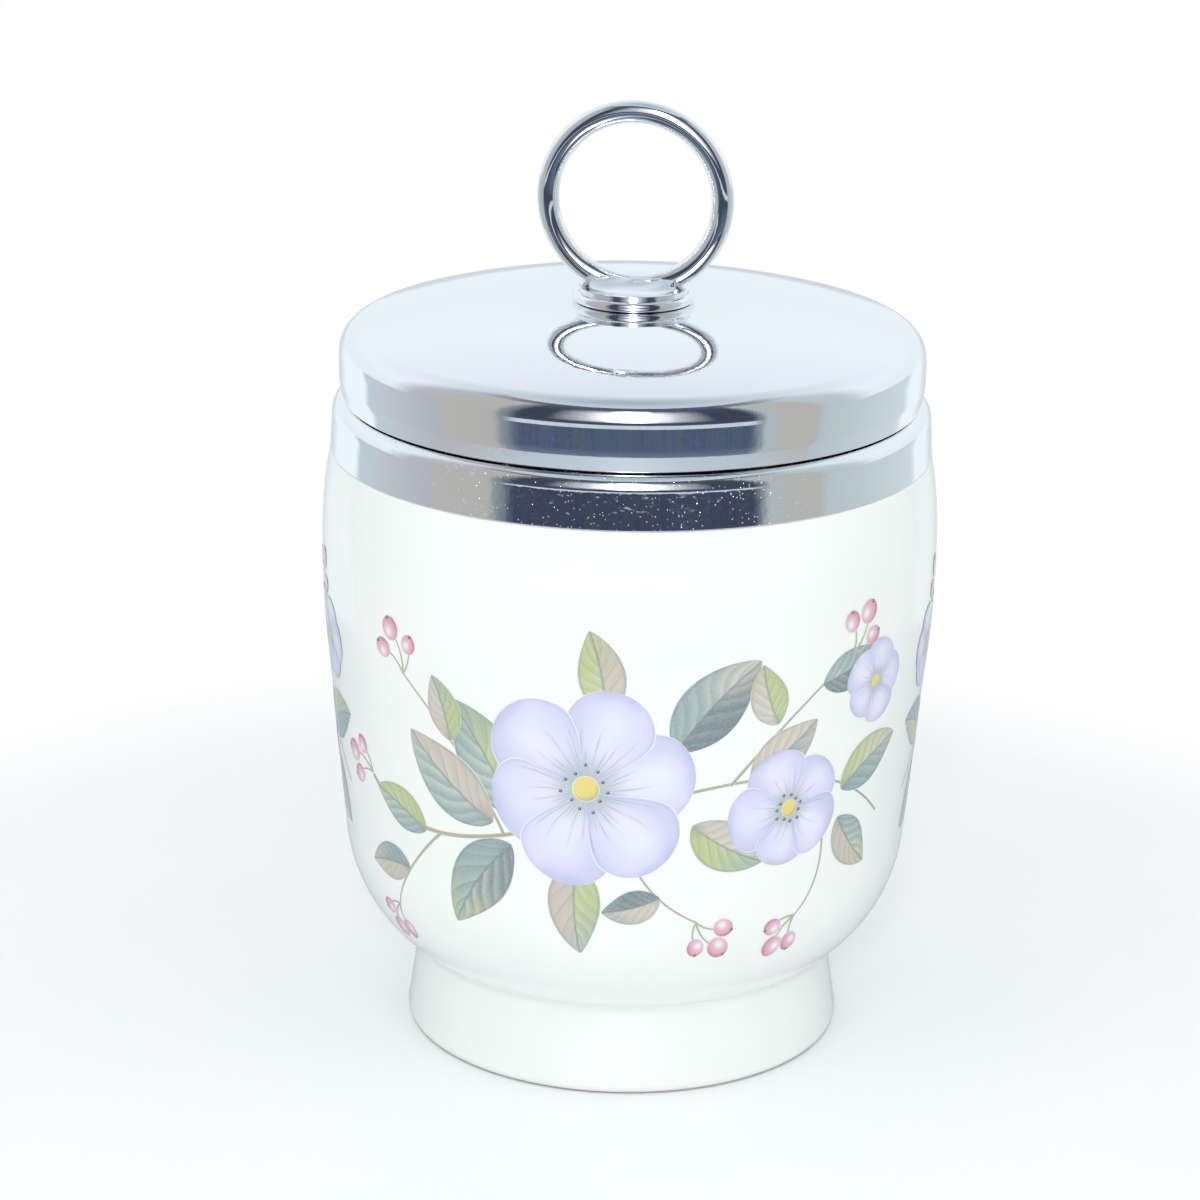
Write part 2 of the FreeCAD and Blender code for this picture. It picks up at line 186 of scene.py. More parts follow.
@dataclass(frozen=True)
class OnglazePrint:
    """Lithographed ceramic colours, fired into the glaze. Sizes in millimetres."""

    # The eye sees flat washes with the china's own gloss, and a fine printed grain in them.
    bare: str = "#edf2ef"
    grain: float = 0.22
    grain_depth: float = 0.10
    roughness: float = 0.09
    ior: float = 1.52

    def make(self) -> bpy.types.Material:
        """Builds the print, whose washes come from the mesh's own colour attribute.

        Returns:
            The material.
        """
        material, tree, place = new_material("onglaze_print")
        wash = add_node(tree, "ShaderNodeAttribute", {"attribute_name": "wash"})
        grain = add_node(tree, "ShaderNodeTexNoise", Vector=place, Scale=1 / (self.grain * MM), Detail=2.0)
        depth = add_node(tree, "ShaderNodeMapRange", Value=grain.outputs["Fac"], From_Min=0.3, From_Max=0.7,
                         To_Min=1.0 - self.grain_depth, To_Max=1.0)
        ink = add_node(tree, "ShaderNodeMath", {"operation": "MULTIPLY"}, in_0=depth.outputs["Result"],
                       in_1=wash.outputs["Alpha"])
        colour = add_node(tree, "ShaderNodeMix", {"data_type": "RGBA"}, Factor=ink.outputs["Value"],
                          in_6=linear(self.bare), in_7=wash.outputs["Color"])
        shader = add_node(tree, "ShaderNodeBsdfPrincipled", Base_Color=colour.outputs[2],
                          Roughness=self.roughness, IOR=self.ior)
        add_node(tree, "ShaderNodeOutputMaterial", Surface=shader.outputs["BSDF"])
        return material


@dataclass(frozen=True)
class ChromePlate:
    """Chrome plate over polished, pressed brass. Sizes in millimetres."""

    # The eye sees a cold, slightly blue mirror, bent a little by the metal's orange peel and hazed by
    # wiping, and on a worn piece clumps of bright pits. The scratches are coarser than real ones.
    name: str
    colour: str = "#f1f4f7"
    roughness: float = 0.018
    haze: float = 0.035
    haze_size: float = 7.0
    scratch: float = 0.25
    scratch_stretch: float = 0.12
    scratch_depth: float = 0.004
    peel: float = 0.9
    peel_depth: float = 0.004
    pit: float = 0.34
    pit_share: float = 0.0
    pit_clump: float = 5.0
    pit_depth: float = 0.03

    def make(self) -> bpy.types.Material:
        """Builds the plate.

        Returns:
            The material.
        """
        material, tree, place = new_material(self.name)
        cloud = add_node(tree, "ShaderNodeTexNoise", Vector=place, Scale=1 / (self.haze_size * MM),
                         Detail=3.0)
        gloss = add_node(tree, "ShaderNodeMapRange", Value=cloud.outputs["Fac"], From_Min=0.35,
                         From_Max=0.7, To_Min=self.roughness, To_Max=self.roughness + self.haze)
        stretch = add_node(tree, "ShaderNodeMapping", Vector=place, Rotation=(0.5, 0.4, 0.0),
                           Scale=(1.0, 1.0, self.scratch_stretch))
        scratch = add_node(tree, "ShaderNodeTexNoise", Vector=stretch.outputs["Vector"],
                           Scale=1 / (self.scratch * MM), Detail=2.0)
        cells = add_node(tree, "ShaderNodeTexVoronoi", {"feature": "F1"}, Vector=place,
                         Scale=1 / (self.pit * MM))
        round_pit = add_node(tree, "ShaderNodeMapRange", Value=cells.outputs["Distance"], From_Min=0.24,
                             From_Max=0.12)
        lot = add_node(tree, "ShaderNodeSeparateColor", Color=cells.outputs["Color"])
        clumps = add_node(tree, "ShaderNodeTexNoise", Vector=place, Scale=1 / (self.pit_clump * MM),
                          Detail=2.0)
        crowd = add_node(tree, "ShaderNodeMapRange", Value=clumps.outputs["Fac"], From_Min=0.42,
                         From_Max=0.66, To_Min=0.25 * self.pit_share, To_Max=2.6 * self.pit_share)
        pitted = add_node(tree, "ShaderNodeMath", {"operation": "LESS_THAN"}, in_0=lot.outputs["Red"],
                          in_1=crowd.outputs["Result"])
        pits = add_node(tree, "ShaderNodeMath", {"operation": "MULTIPLY"},
                        in_0=round_pit.outputs["Result"], in_1=pitted.outputs["Value"])
        peel = add_node(tree, "ShaderNodeTexNoise", Vector=place, Scale=1 / (self.peel * MM), Detail=1.5)
        waved = add_node(tree, "ShaderNodeBump", Height=peel.outputs["Fac"], Strength=1.0,
                         Distance=self.peel_depth * MM)
        wiped = add_node(tree, "ShaderNodeBump", Height=scratch.outputs["Fac"], Strength=0.35,
                         Distance=self.scratch_depth * MM, Normal=waved.outputs["Normal"])
        worn = add_node(tree, "ShaderNodeBump", Height=pits.outputs["Value"], Strength=0.8,
                        Distance=self.pit_depth * MM, Normal=wiped.outputs["Normal"])
        shader = add_node(tree, "ShaderNodeBsdfPrincipled", Base_Color=linear(self.colour), Metallic=1.0,
                          Roughness=gloss.outputs["Result"], Normal=worn.outputs["Normal"])
        add_node(tree, "ShaderNodeOutputMaterial", Surface=shader.outputs["BSDF"])
        return material


@dataclass(frozen=True)
class TurnedSteel:
    """Plain turned steel of the hidden ring and washer. Sizes in millimetres."""

    # The eye sees satin grey metal with fine turning lines round the axis.
    colour: str = "#bfc2c4"
    line: float = 0.3
    line_depth: float = 0.02

    def make(self) -> bpy.types.Material:
        """Builds the steel.

        Returns:
            The material.
        """
        material, tree, place = new_material("turned_steel")
        lines = add_node(tree, "ShaderNodeTexWave", {"wave_type": "RINGS", "rings_direction": "Z"},
                         Vector=place, Scale=1 / (20 * self.line * MM), Distortion=0.4)
        gloss = add_node(tree, "ShaderNodeMapRange", Value=lines.outputs["Fac"], To_Min=0.26, To_Max=0.4)
        relief = add_node(tree, "ShaderNodeBump", Height=lines.outputs["Fac"], Strength=0.2,
                          Distance=self.line_depth * MM)
        shader = add_node(tree, "ShaderNodeBsdfPrincipled", Base_Color=linear(self.colour), Metallic=1.0,
                          Roughness=gloss.outputs["Result"], Normal=relief.outputs["Normal"])
        add_node(tree, "ShaderNodeOutputMaterial", Surface=shader.outputs["BSDF"])
        return material


@dataclass(frozen=True)
class SetCement:
    """Plaster-like fixing cement, set and left as it was. Sizes in millimetres."""

    # The eye sees a pale, matt, slightly gritty filler.
    dark: str = "#b9b2a6"
    pale: str = "#d3cdc2"
    grit: float = 0.4
    grit_depth: float = 0.05
    roughness: float = 0.85

    def make(self) -> bpy.types.Material:
        """Builds the cement.

        Returns:
            The material.
        """
        material, tree, place = new_material("set_cement")
        grit = add_node(tree, "ShaderNodeTexNoise", Vector=place, Scale=1 / (self.grit * MM), Detail=4.0)
        tone = add_node(tree, "ShaderNodeValToRGB", stops=((0.3, self.dark), (0.7, self.pale)),
                        Fac=grit.outputs["Fac"])
        relief = add_node(tree, "ShaderNodeBump", Height=grit.outputs["Fac"], Strength=0.4,
                          Distance=self.grit_depth * MM)
        shader = add_node(tree, "ShaderNodeBsdfPrincipled", Base_Color=tone.outputs["Color"],
                          Roughness=self.roughness, Normal=relief.outputs["Normal"])
        add_node(tree, "ShaderNodeOutputMaterial", Surface=shader.outputs["BSDF"])
        return material


@dataclass
class TurnedOutline:
    """Outline of a turned piece in the plane of radius and height, in millimetres.

    The outline passes its corners in order with the solid on its left. Each corner is rounded by an arc
    tangent to both sides. Points lie close together on arcs and evenly along straight stretches.
    """

    corners: Sequence[Corner]
    closed: bool = True
    arc_step: float = math.radians(7)
    longest: float = 1.2
    radius: np.ndarray = field(init=False)
    height: np.ndarray = field(init=False)
    normal: np.ndarray = field(init=False)

    def __post_init__(self) -> None:
        """Works out the points and outward normals."""
        points, directions = [], []
        count = len(self.corners)
        plane = np.array([corner[:2] for corner in self.corners], float)
        previous_end = None
        order = list(range(count)) + ([0] if self.closed else [])
        for step, index in enumerate(order):
            last_open = not self.closed and index == count - 1
            if not self.closed and index == 0:
                previous_end = plane[0]
                points.append(plane[0])
                directions.append(self._toward(plane[0], plane[1]))
                continue
            incoming = self._toward(plane[index - 1], plane[index])
            outgoing = incoming if last_open else self._toward(plane[index], plane[(index + 1) % count])
            cross = incoming[0] * outgoing[1] - incoming[1] * outgoing[0]
            angle = math.atan2(cross, float(incoming @ outgoing))
            reach = self.corners[index][2] * math.tan(abs(angle) / 2)
            start = plane[index] - incoming * reach
            if previous_end is not None:
                self._straight(points, directions, previous_end, start, incoming)
            if step == count and self.closed:
                break
            self._arc(points, directions, start, incoming, angle, self.corners[index][2])
            previous_end = plane[index] + outgoing * reach
        outline = np.array(points)
        tangent = np.array(directions)
        self.radius, self.height = outline[:, 0], outline[:, 1]
        self.normal = np.stack([tangent[:, 1], -tangent[:, 0]], 1)

    @staticmethod
    def _toward(start: np.ndarray, end: np.ndarray) -> np.ndarray:
        """Gives the unit direction from one point to another."""
        return (end - start) / np.linalg.norm(end - start)

    def _straight(self, points: list, directions: list, start: np.ndarray, end: np.ndarray,
                  along: np.ndarray) -> None:
        """Adds the points of a straight stretch after its start, up to and with its end.

        Args:
            points: the outline's points so far.
            directions: the outline's directions so far.
            start: where the stretch starts.
            end: where it ends.
            along: its unit direction.
        """
        parts = max(1, math.ceil(float(np.linalg.norm(end - start)) / self.longest))
        for part in range(1, parts + 1):
            points.append(start + (end - start) * part / parts)
            directions.append(along)

    def _arc(self, points: list, directions: list, start: np.ndarray, along: np.ndarray, angle: float,
             radius: float) -> None:
        """Adds the points of a rounding.

        The direction turns evenly. A point lies at the end of a chord, which is twice the radius times
        the sine of half the turn, and points half way between the first direction and the last.

        Args:
            points: the outline's points so far.
            directions: the outline's directions so far.
            start: where the arc starts.
            along: the unit direction there.
            angle: the whole turn to the left, in radians.
            radius: the arc's radius.
        """
        parts = max(1, math.ceil(abs(angle) / self.arc_step), math.ceil(abs(angle) * radius / self.longest))
        if not points:
            points.append(start)
            directions.append(along)
        for part in range(1, parts + 1):
            turn = angle * part / parts
            chord = 2 * radius * math.sin(abs(turn) / 2)
            points.append(start + chord * self._turned(along, turn / 2))
            directions.append(self._turned(along, turn))

    @staticmethod
    def _turned(vector: np.ndarray, angle: float) -> np.ndarray:
        """Turns a vector of the plane to the left by an angle."""
        cosine, sine = math.cos(angle), math.sin(angle)
        return np.array([vector[0] * cosine - vector[1] * sine, vector[0] * sine + vector[1] * cosine])


def build_mesh(name: str, points: np.ndarray, faces: Sequence[np.ndarray],
               normals: Optional[np.ndarray] = None) -> bpy.types.Object:
    """Makes a smooth mesh object from whole arrays.

    Args:
        name: the piece's name.
        points: n by 3 vertices, in millimetres.
        faces: arrays of vertex numbers, one row a face.
        normals: n by 3 vertex normals, if they are known.

    Returns:
        The object, at the origin and linked to the scene.
    """
    mesh = bpy.data.meshes.new(name)
    mesh.from_pydata(points * MM, [], [row for block in faces for row in block.tolist()])
    mesh.shade_smooth()
    if normals is not None:
        lengths = np.linalg.norm(normals, axis=1, keepdims=True)
        mesh.normals_split_custom_set_from_vertices((normals / lengths).tolist())
    piece = bpy.data.objects.new(name, mesh)
    bpy.context.scene.collection.objects.link(piece)
    return piece


def grid_faces(rows: int, columns: int, wrap_rows: bool, wrap_columns: bool) -> np.ndarray:
    """Numbers the four corners of every cell of a grid of vertices.

    Args:
        rows: vertices along the first parameter.
        columns: vertices along the second parameter.
        wrap_rows: whether the last row joins the first.
        wrap_columns: whether the last column joins the first.

    Returns:
        One row of four vertex numbers for each cell.
    """
    row = np.arange(rows if wrap_rows else rows - 1)[:, None]
    column = np.arange(columns if wrap_columns else columns - 1)[None, :]
    next_row, next_column = (row + 1) % rows, (column + 1) % columns
    cells = np.stack(np.broadcast_arrays(
        row * columns + column, row * columns + next_column,
        next_row * columns + next_column, next_row * columns + column), -1)
    return cells.reshape(-1, 4)


def lathe(name: str, outline: TurnedOutline, sides: int,
          shift: Optional[np.ndarray] = None) -> bpy.types.Object:
    """Turns an outline about Z: a point is (r cos a, r sin a, h), with r and h from the outline.

    Args:
        name: the piece's name.
        outline: the outline, closed, or open with both ends on the axis.
        sides: how many columns go round.
        shift: rows by sides by 2 changes of radius and height, or None.

    Returns:
        The object.
    """
    angle = np.arange(sides) / sides * TAU
    radius = np.repeat(outline.radius[:, None], sides, 1)
    height = np.repeat(outline.height[:, None], sides, 1)
    if shift is not None:
        radius, height = radius + shift[..., 0], height + shift[..., 1]
    points = np.stack([radius * np.cos(angle), radius * np.sin(angle), height], -1)
    rows = len(outline.radius)
    normals = None
    if shift is None:
        normals = np.stack([
            outline.normal[:, :1] * np.cos(angle), outline.normal[:, :1] * np.sin(angle),
            np.repeat(outline.normal[:, 1:], sides, 1)], -1)
    if outline.closed:
        flat = points.reshape(-1, 3)
        return build_mesh(name, flat, [grid_faces(rows, sides, True, True)],
                          None if normals is None else normals.reshape(-1, 3))
    inner = points[1:-1].reshape(-1, 3)
    vertices = np.vstack([inner, points[0, 0], points[-1, 0]])
    first, last = len(inner), len(inner) + 1
    ring = np.arange(sides)
    after = (ring + 1) % sides
    top = (rows - 3) * sides
    fans = [np.stack([np.full(sides, first), after, ring], 1),
            np.stack([top + ring, top + after, np.full(sides, last)], 1)]
    if normals is not None:
        normals = np.vstack([normals[1:-1].reshape(-1, 3), normals[0, 0], normals[-1, 0]])
    return build_mesh(name, vertices, [grid_faces(rows - 2, sides, False, True)] + fans, normals)


def dress(piece: bpy.types.Object, material: bpy.types.Material, body: Body,
          replaced: Iterable[str] = ()) -> None:
    """Gives a new piece its material, its body and the nodes it stands for.

    Args:
        piece: the new object.
        material: its material.
        body: the body it rides on.
        replaced: names of the nodes that it replaces.
    """
    piece.data.materials.append(material)
    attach(piece, body.value)
    nodes = tuple(replaced)
    if nodes:
        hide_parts(*nodes)
    LOG.info("%s rides on %s", piece.name, body.value)


@dataclass
class Cup:
    """Bone-china cup on its foot ring, turned about its axis. Sizes in millimetres."""

    belly: float = 32.34
    side_corner: tuple[float, float] = (29.3, 14.5)
    belly_levels: tuple[float, float] = (48.7, 59.2)
    seat: tuple[float, float] = (31.45, 63.9)
    step: tuple[float, float] = (30.35, 68.3)
    rim: tuple[float, float] = (27.1, 76.4)
    mouth: float = 24.2
    throat_levels: tuple[float, float] = (63.0, 70.6)
    wall: float = 3.2
    floor: float = 10.3
    recess: float = 7.0
    foot: float = 23.45
    waist: tuple[float, float] = (22.1, 9.3)
    foot_wall: tuple[float, float] = (2.3, 2.8)
    sides: int = 240
    outline: TurnedOutline = field(init=False)

    def __post_init__(self) -> None:
        """Works out the outline from the hollow under the foot, over the rim, to the bowl's floor."""
        corner_radius, corner_level = self.side_corner
        self.outline = TurnedOutline((
            (0.0, self.recess, 0.0),
            (self.waist[0] - self.foot_wall[1], self.recess, 2.0),
            (self.foot - self.foot_wall[0], 0.0, 0.5),
            (self.foot, 0.0, 0.9),
            (*self.waist, 1.5),
            (corner_radius, corner_level, 16.6),
            (self.belly, self.belly_levels[0], 110.0),
            (self.belly, self.belly_levels[1], 45.0),
            (*self.seat, 0.3),
            (self.step[0], self.seat[1], 0.1),
            (*self.step, 0.6),
            (self.rim[0], self.step[1], 0.2),
            (*self.rim, 1.2),
            (self.mouth, self.rim[1], 1.2),
            (self.mouth, self.throat_levels[1], 6.0),
            (self.belly - self.wall, self.throat_levels[0], 6.0),
            (self.belly - self.wall, self.belly_levels[0], 60.0),
            (corner_radius - self.wall, self.floor, 12.5),
            (0.0, self.floor, 0.0),
        ), closed=False, longest=0.8)

    def outside(self, height: np.ndarray) -> tuple[np.ndarray, np.ndarray]:
        """Gives the cup's outer radius and the slope of its wall at given heights.

        Args:
            height: heights between the waist and the band's seat.

        Returns:
            The radius, and its change for each millimetre of height.
        """
        start, end = (
            int(np.argmin(np.hypot(self.outline.radius - near[0], self.outline.height - near[1])))
            for near in (self.waist, self.seat))
        radius, level = self.outline.radius[start:end], self.outline.height[start:end]
        small = 0.05
        above = np.interp(height + small, level, radius)
        below = np.interp(height - small, level, radius)
        return np.interp(height, level, radius), (above - below) / (2 * small)

    def build(self, glaze: bpy.types.Material) -> None:
        """Builds and dresses the cup."""
        piece = lathe("china_cup", self.outline, self.sides)
        dress(piece, glaze, Body.CUP, ("porcelain_cup",))


@dataclass
class Thread:
    """Right-hand rounded ridge on a turned neck. Sizes in millimetres."""

    pitch: float = 3.2
    height: float = 0.5
    half_width: float = 0.8
    start: float = 70.4
    turns: float = 1.2
    fade: float = 0.035

    def rise(self, level: np.ndarray, sides: int) -> np.ndarray:
        """Gives how far the ridge stands out at each level and angle.

        The ridge is a raised cosine across the distance from the nearest turn of the helix
        z = start + pitch * turn, and it dies away over a short stretch at both ends.

        Args:
            level: heights of the rows.
            sides: how many columns go round.

        Returns:
            Rows by sides heights of the ridge.
        """
        part = np.arange(sides)[None, :] / sides
        turn = np.round((level[:, None] - self.start) / self.pitch - part) + part
        off = level[:, None] - self.start - self.pitch * turn
        across = np.clip(np.abs(off) / self.half_width, 0, 1)
        ends = np.clip(np.minimum(turn + self.fade, self.turns + self.fade - turn) / self.fade, 0, 1)
        return self.height * (0.5 + 0.5 * np.cos(np.pi * across)) * ends * ends * (3 - 2 * ends)


@dataclass
class Collar:
    """Chromed screw collar: visible band, rounded shoulder, ledge and threaded neck. Millimetres."""

    bottom: tuple[float, float] = (31.45, 63.9)
    draft: float = 0.3
    ledge: float = 69.4
    shoulder_round: float = 1.65
    neck: float = 28.2
    neck_top: float = 75.2
    neck_bore: float = 27.4
    step: tuple[float, float] = (30.65, 68.6)
    thread: Thread = field(default_factory=Thread)
    sides: int = 320

    def build(self, plate: bpy.types.Material) -> None:
        """Builds and dresses the collar, with the thread's ridge on its neck.

        Args:
            plate: its material.
        """
        outline = TurnedOutline((
            (*self.bottom, 0.12),
            (self.bottom[0] - self.draft, self.ledge, self.shoulder_round),
            (self.neck, self.ledge, 0.3),
            (self.neck, self.neck_top, 0.3),
            (self.neck_bore, self.neck_top, 0.1),
            (self.neck_bore, self.step[1], 0.2),
            (*self.step, 0.9),
            (self.step[0], self.bottom[1], 0.1),
        ), longest=0.18)
        on_neck = np.abs(outline.radius - self.neck) < 1e-6
        ridge = self.thread.rise(outline.height, self.sides) * on_neck[:, None]
        shift = np.stack([ridge, np.zeros_like(ridge)], -1)
        piece = lathe("collar_band", outline, self.sides, shift)
        dress(piece, plate, Body.CUP, ("screw_collar",))


@dataclass
class Lid:
    """Chromed lid: flat-middled crown, knuckle and skirt with a tucked-in edge. Millimetres."""

    radius: float = 30.5
    plate: float = 79.45
    sheet: float = 0.7
    skirt: float = 69.52
    crown_width: float = 10.7
    crown_drop: float = 3.25
    crown_straight: float = 0.5
    knuckle: float = 2.76
    tuck: tuple[float, float] = (0.3, 1.9)
    draft: tuple[float, float] = (73.95, 0.15)
    hole: float = 1.65
    sides: int = 320

    def crown_round(self) -> float:
        """Gives the radius of the crown's curve, which fills the plate up to the knuckle.

        The slope from the plate to the knuckle is as long as the hypotenuse of width and drop. What the
        knuckle's arc and a short straight leave of it is the reach of the crown's arc.

        Returns:
            The radius.
        """
        length = math.hypot(self.crown_width, self.crown_drop)
        reach = length - self.knuckle * (length - self.crown_drop) / self.crown_width - self.crown_straight
        return reach * self.crown_drop / (length - self.crown_width)

    def build(self, plate: bpy.types.Material) -> None:
        """Builds and dresses the lid's pressing.

        Args:
            plate: its material.
        """
        corner = self.radius - self.crown_width
        under = self.plate - self.sheet
        fall = self.crown_drop - self.sheet * self.crown_drop / self.crown_width
        outline = TurnedOutline((
            (self.hole, under, 0.0),
            (corner, under, self.crown_round() - self.sheet),
            (self.radius - self.sheet, under - fall, self.knuckle - self.sheet),
            (self.radius - self.sheet, self.skirt, 0.12),
            (self.radius - self.tuck[0], self.skirt, 0.15),
            (self.radius, self.skirt + self.tuck[1], 5.0),
            (self.radius, self.draft[0], 1.0),
            (self.radius - self.draft[1], self.plate - self.crown_drop, self.knuckle),
            (corner, self.plate, self.crown_round()),
            (self.hole, self.plate, 0.0),
        ), longest=0.6, arc_step=math.radians(4))
        piece = lathe("lid_pressing", outline, self.sides)
        dress(piece, plate, Body.LID, ("lid_shell",))


@dataclass
class Handle:
    """Wire ring soldered upright into a turned, dished saddle. Millimetres."""

    ring: float = 9.1
    wire: float = 1.15
    centre: float = 90.05
    plate: float = 79.45
    bead: tuple[float, float] = (6.4, 1.15)
    bead_round: float = 0.5
    groove: tuple[float, float] = (5.2, 0.25)
    lip: tuple[float, float] = (5.95, 0.3)
    dish: float = 0.25
    spigot: float = 1.6
    peen: tuple[float, float, float] = (2.9, 77.49, 78.09)
    solder: tuple[float, float, float, float] = (1.0, 0.022, 2.6, 1.3)
    ring_grid: tuple[int, int] = (224, 40)
    saddle_sides: int = 192

    def build_ring(self, plate: bpy.types.Material) -> None:
        """Builds the wire: a circle of the wire's radius carried round the ring's circle in the XZ plane.

        Args:
            plate: its material.
        """
        rows, columns = self.ring_grid
        a, b = np.meshgrid(np.arange(rows) / rows * TAU, np.arange(columns) / columns * TAU, indexing="ij")
        reach = self.ring + self.wire * np.cos(b)
        points = np.stack([reach * np.cos(a), self.wire * np.sin(b), self.centre + reach * np.sin(a)], -1)
        normals = np.stack([np.cos(b) * np.cos(a), np.sin(b), np.cos(b) * np.sin(a)], -1)
        piece = build_mesh("lifting_ring_wire", points.reshape(-1, 3),
                           [grid_faces(rows, columns, True, True)], normals.reshape(-1, 3))
        dress(piece, plate, Body.LID, ("lifting_ring",))

    def solder_rise(self, x: np.ndarray, y: np.ndarray) -> np.ndarray:
        """Gives how far the solder stands above the dish, where it fills the room round the wire.

        Along the wire it rises with the square of x. Across it, it is level as far as the wire reaches,
        and then falls in a hollow fillet. A smooth step ends it inside the dish's lip.

        Args:
            x: distance along the wire.
            y: distance from the wire's plane.

        Returns:
            The rise, at least 0.
        """
        height, climb, width, edge = self.solder
        across = np.clip((np.abs(y) - 0.8 * self.wire) / width, 0, 1)
        inside = soft_step(0, 1, (self.lip[0] - 0.3 - np.hypot(x, y)) / edge)
        lumps = 1 + 0.05 * np.sin(2.1 * x + 1.3) + 0.04 * np.sin(3.7 * y - 1.1 * x)
        return (height + climb * x * x) * (1 - across) ** 1.7 * inside * lumps

    def build_saddle(self, plate: bpy.types.Material) -> None:
        """Builds the saddle with its spigot, peened end and solder.

        Args:
            plate: its material.
        """
        bead_top = self.plate + self.bead[1]
        lip_top = bead_top + self.groove[1] + self.lip[1]
        outline = TurnedOutline((
            (0.0, self.peen[1], 0.0),
            (self.peen[0], self.peen[1], 0.28),
            (self.peen[0], self.peen[2], 0.1),
            (self.spigot, self.peen[2], 0.1),
            (self.spigot, self.plate, 0.0),
            (self.bead[0], self.plate, self.bead_round),
            (self.bead[0], bead_top, self.bead_round + 0.1),
            (self.groove[0], bead_top, 0.12),
            (self.lip[0], lip_top - 0.4 * self.lip[1], 0.06),
            (self.lip[0] - 0.2, lip_top, 0.08),
            (self.lip[0] - 1.6, lip_top - self.dish, 2.5),
            (0.0, lip_top - self.dish, 0.0),
        ), closed=False, longest=0.14)
        angle = np.arange(self.saddle_sides) / self.saddle_sides * TAU
        x, y = outline.radius[:, None] * np.cos(angle), outline.radius[:, None] * np.sin(angle)
        first_of_dish = int(np.argmax(outline.height >= lip_top - 0.02))
        in_dish = np.arange(len(outline.radius)) >= first_of_dish
        rise = self.solder_rise(x, y) * in_dish[:, None]
        shift = np.stack([np.zeros_like(rise), rise], -1)
        piece = lathe("ring_saddle_turning", outline, self.saddle_sides, shift)
        dress(piece, plate, Body.LID, ("ring_saddle",))


@dataclass(frozen=True)
class Pigments:
    """Colours of the print, as sRGB hex values."""

    petal_pale: str = "#ebebf7"
    petal: str = "#c6c8ea"
    petal_deep: str = "#a3a8d4"
    teal: str = "#7c989c"
    olive: str = "#a9b07a"
    taupe: str = "#bcb0a4"
    slate: str = "#5c6f7b"
    stem: str = "#9d8878"
    pink: str = "#dba3b4"
    pink_deep: str = "#b8758c"
    yellow: str = "#e0cf78"
    dark: str = "#4a4f4a"
    leaf_green: str = "#aab876"
    leaf_light: str = "#dfe4d3"


def blend(low: np.ndarray, high: np.ndarray, share: np.ndarray) -> np.ndarray:
    """Mixes two colours or colour arrays by a share from 0 to 1."""
    return low + (high - low) * np.clip(share, 0, 1)[..., None]


def soft_step(low: float, high: float, value: np.ndarray) -> np.ndarray:
    """Gives a smooth step from 0 at low to 1 at high."""
    part = np.clip((value - low) / (high - low), 0, 1)
    return part * part * (3 - 2 * part)


@dataclass
class Patch:
    """One flat shape of the print: grids of girth places, heights, colours and ink strengths."""

    s: np.ndarray
    h: np.ndarray
    colour: np.ndarray
    strength: np.ndarray


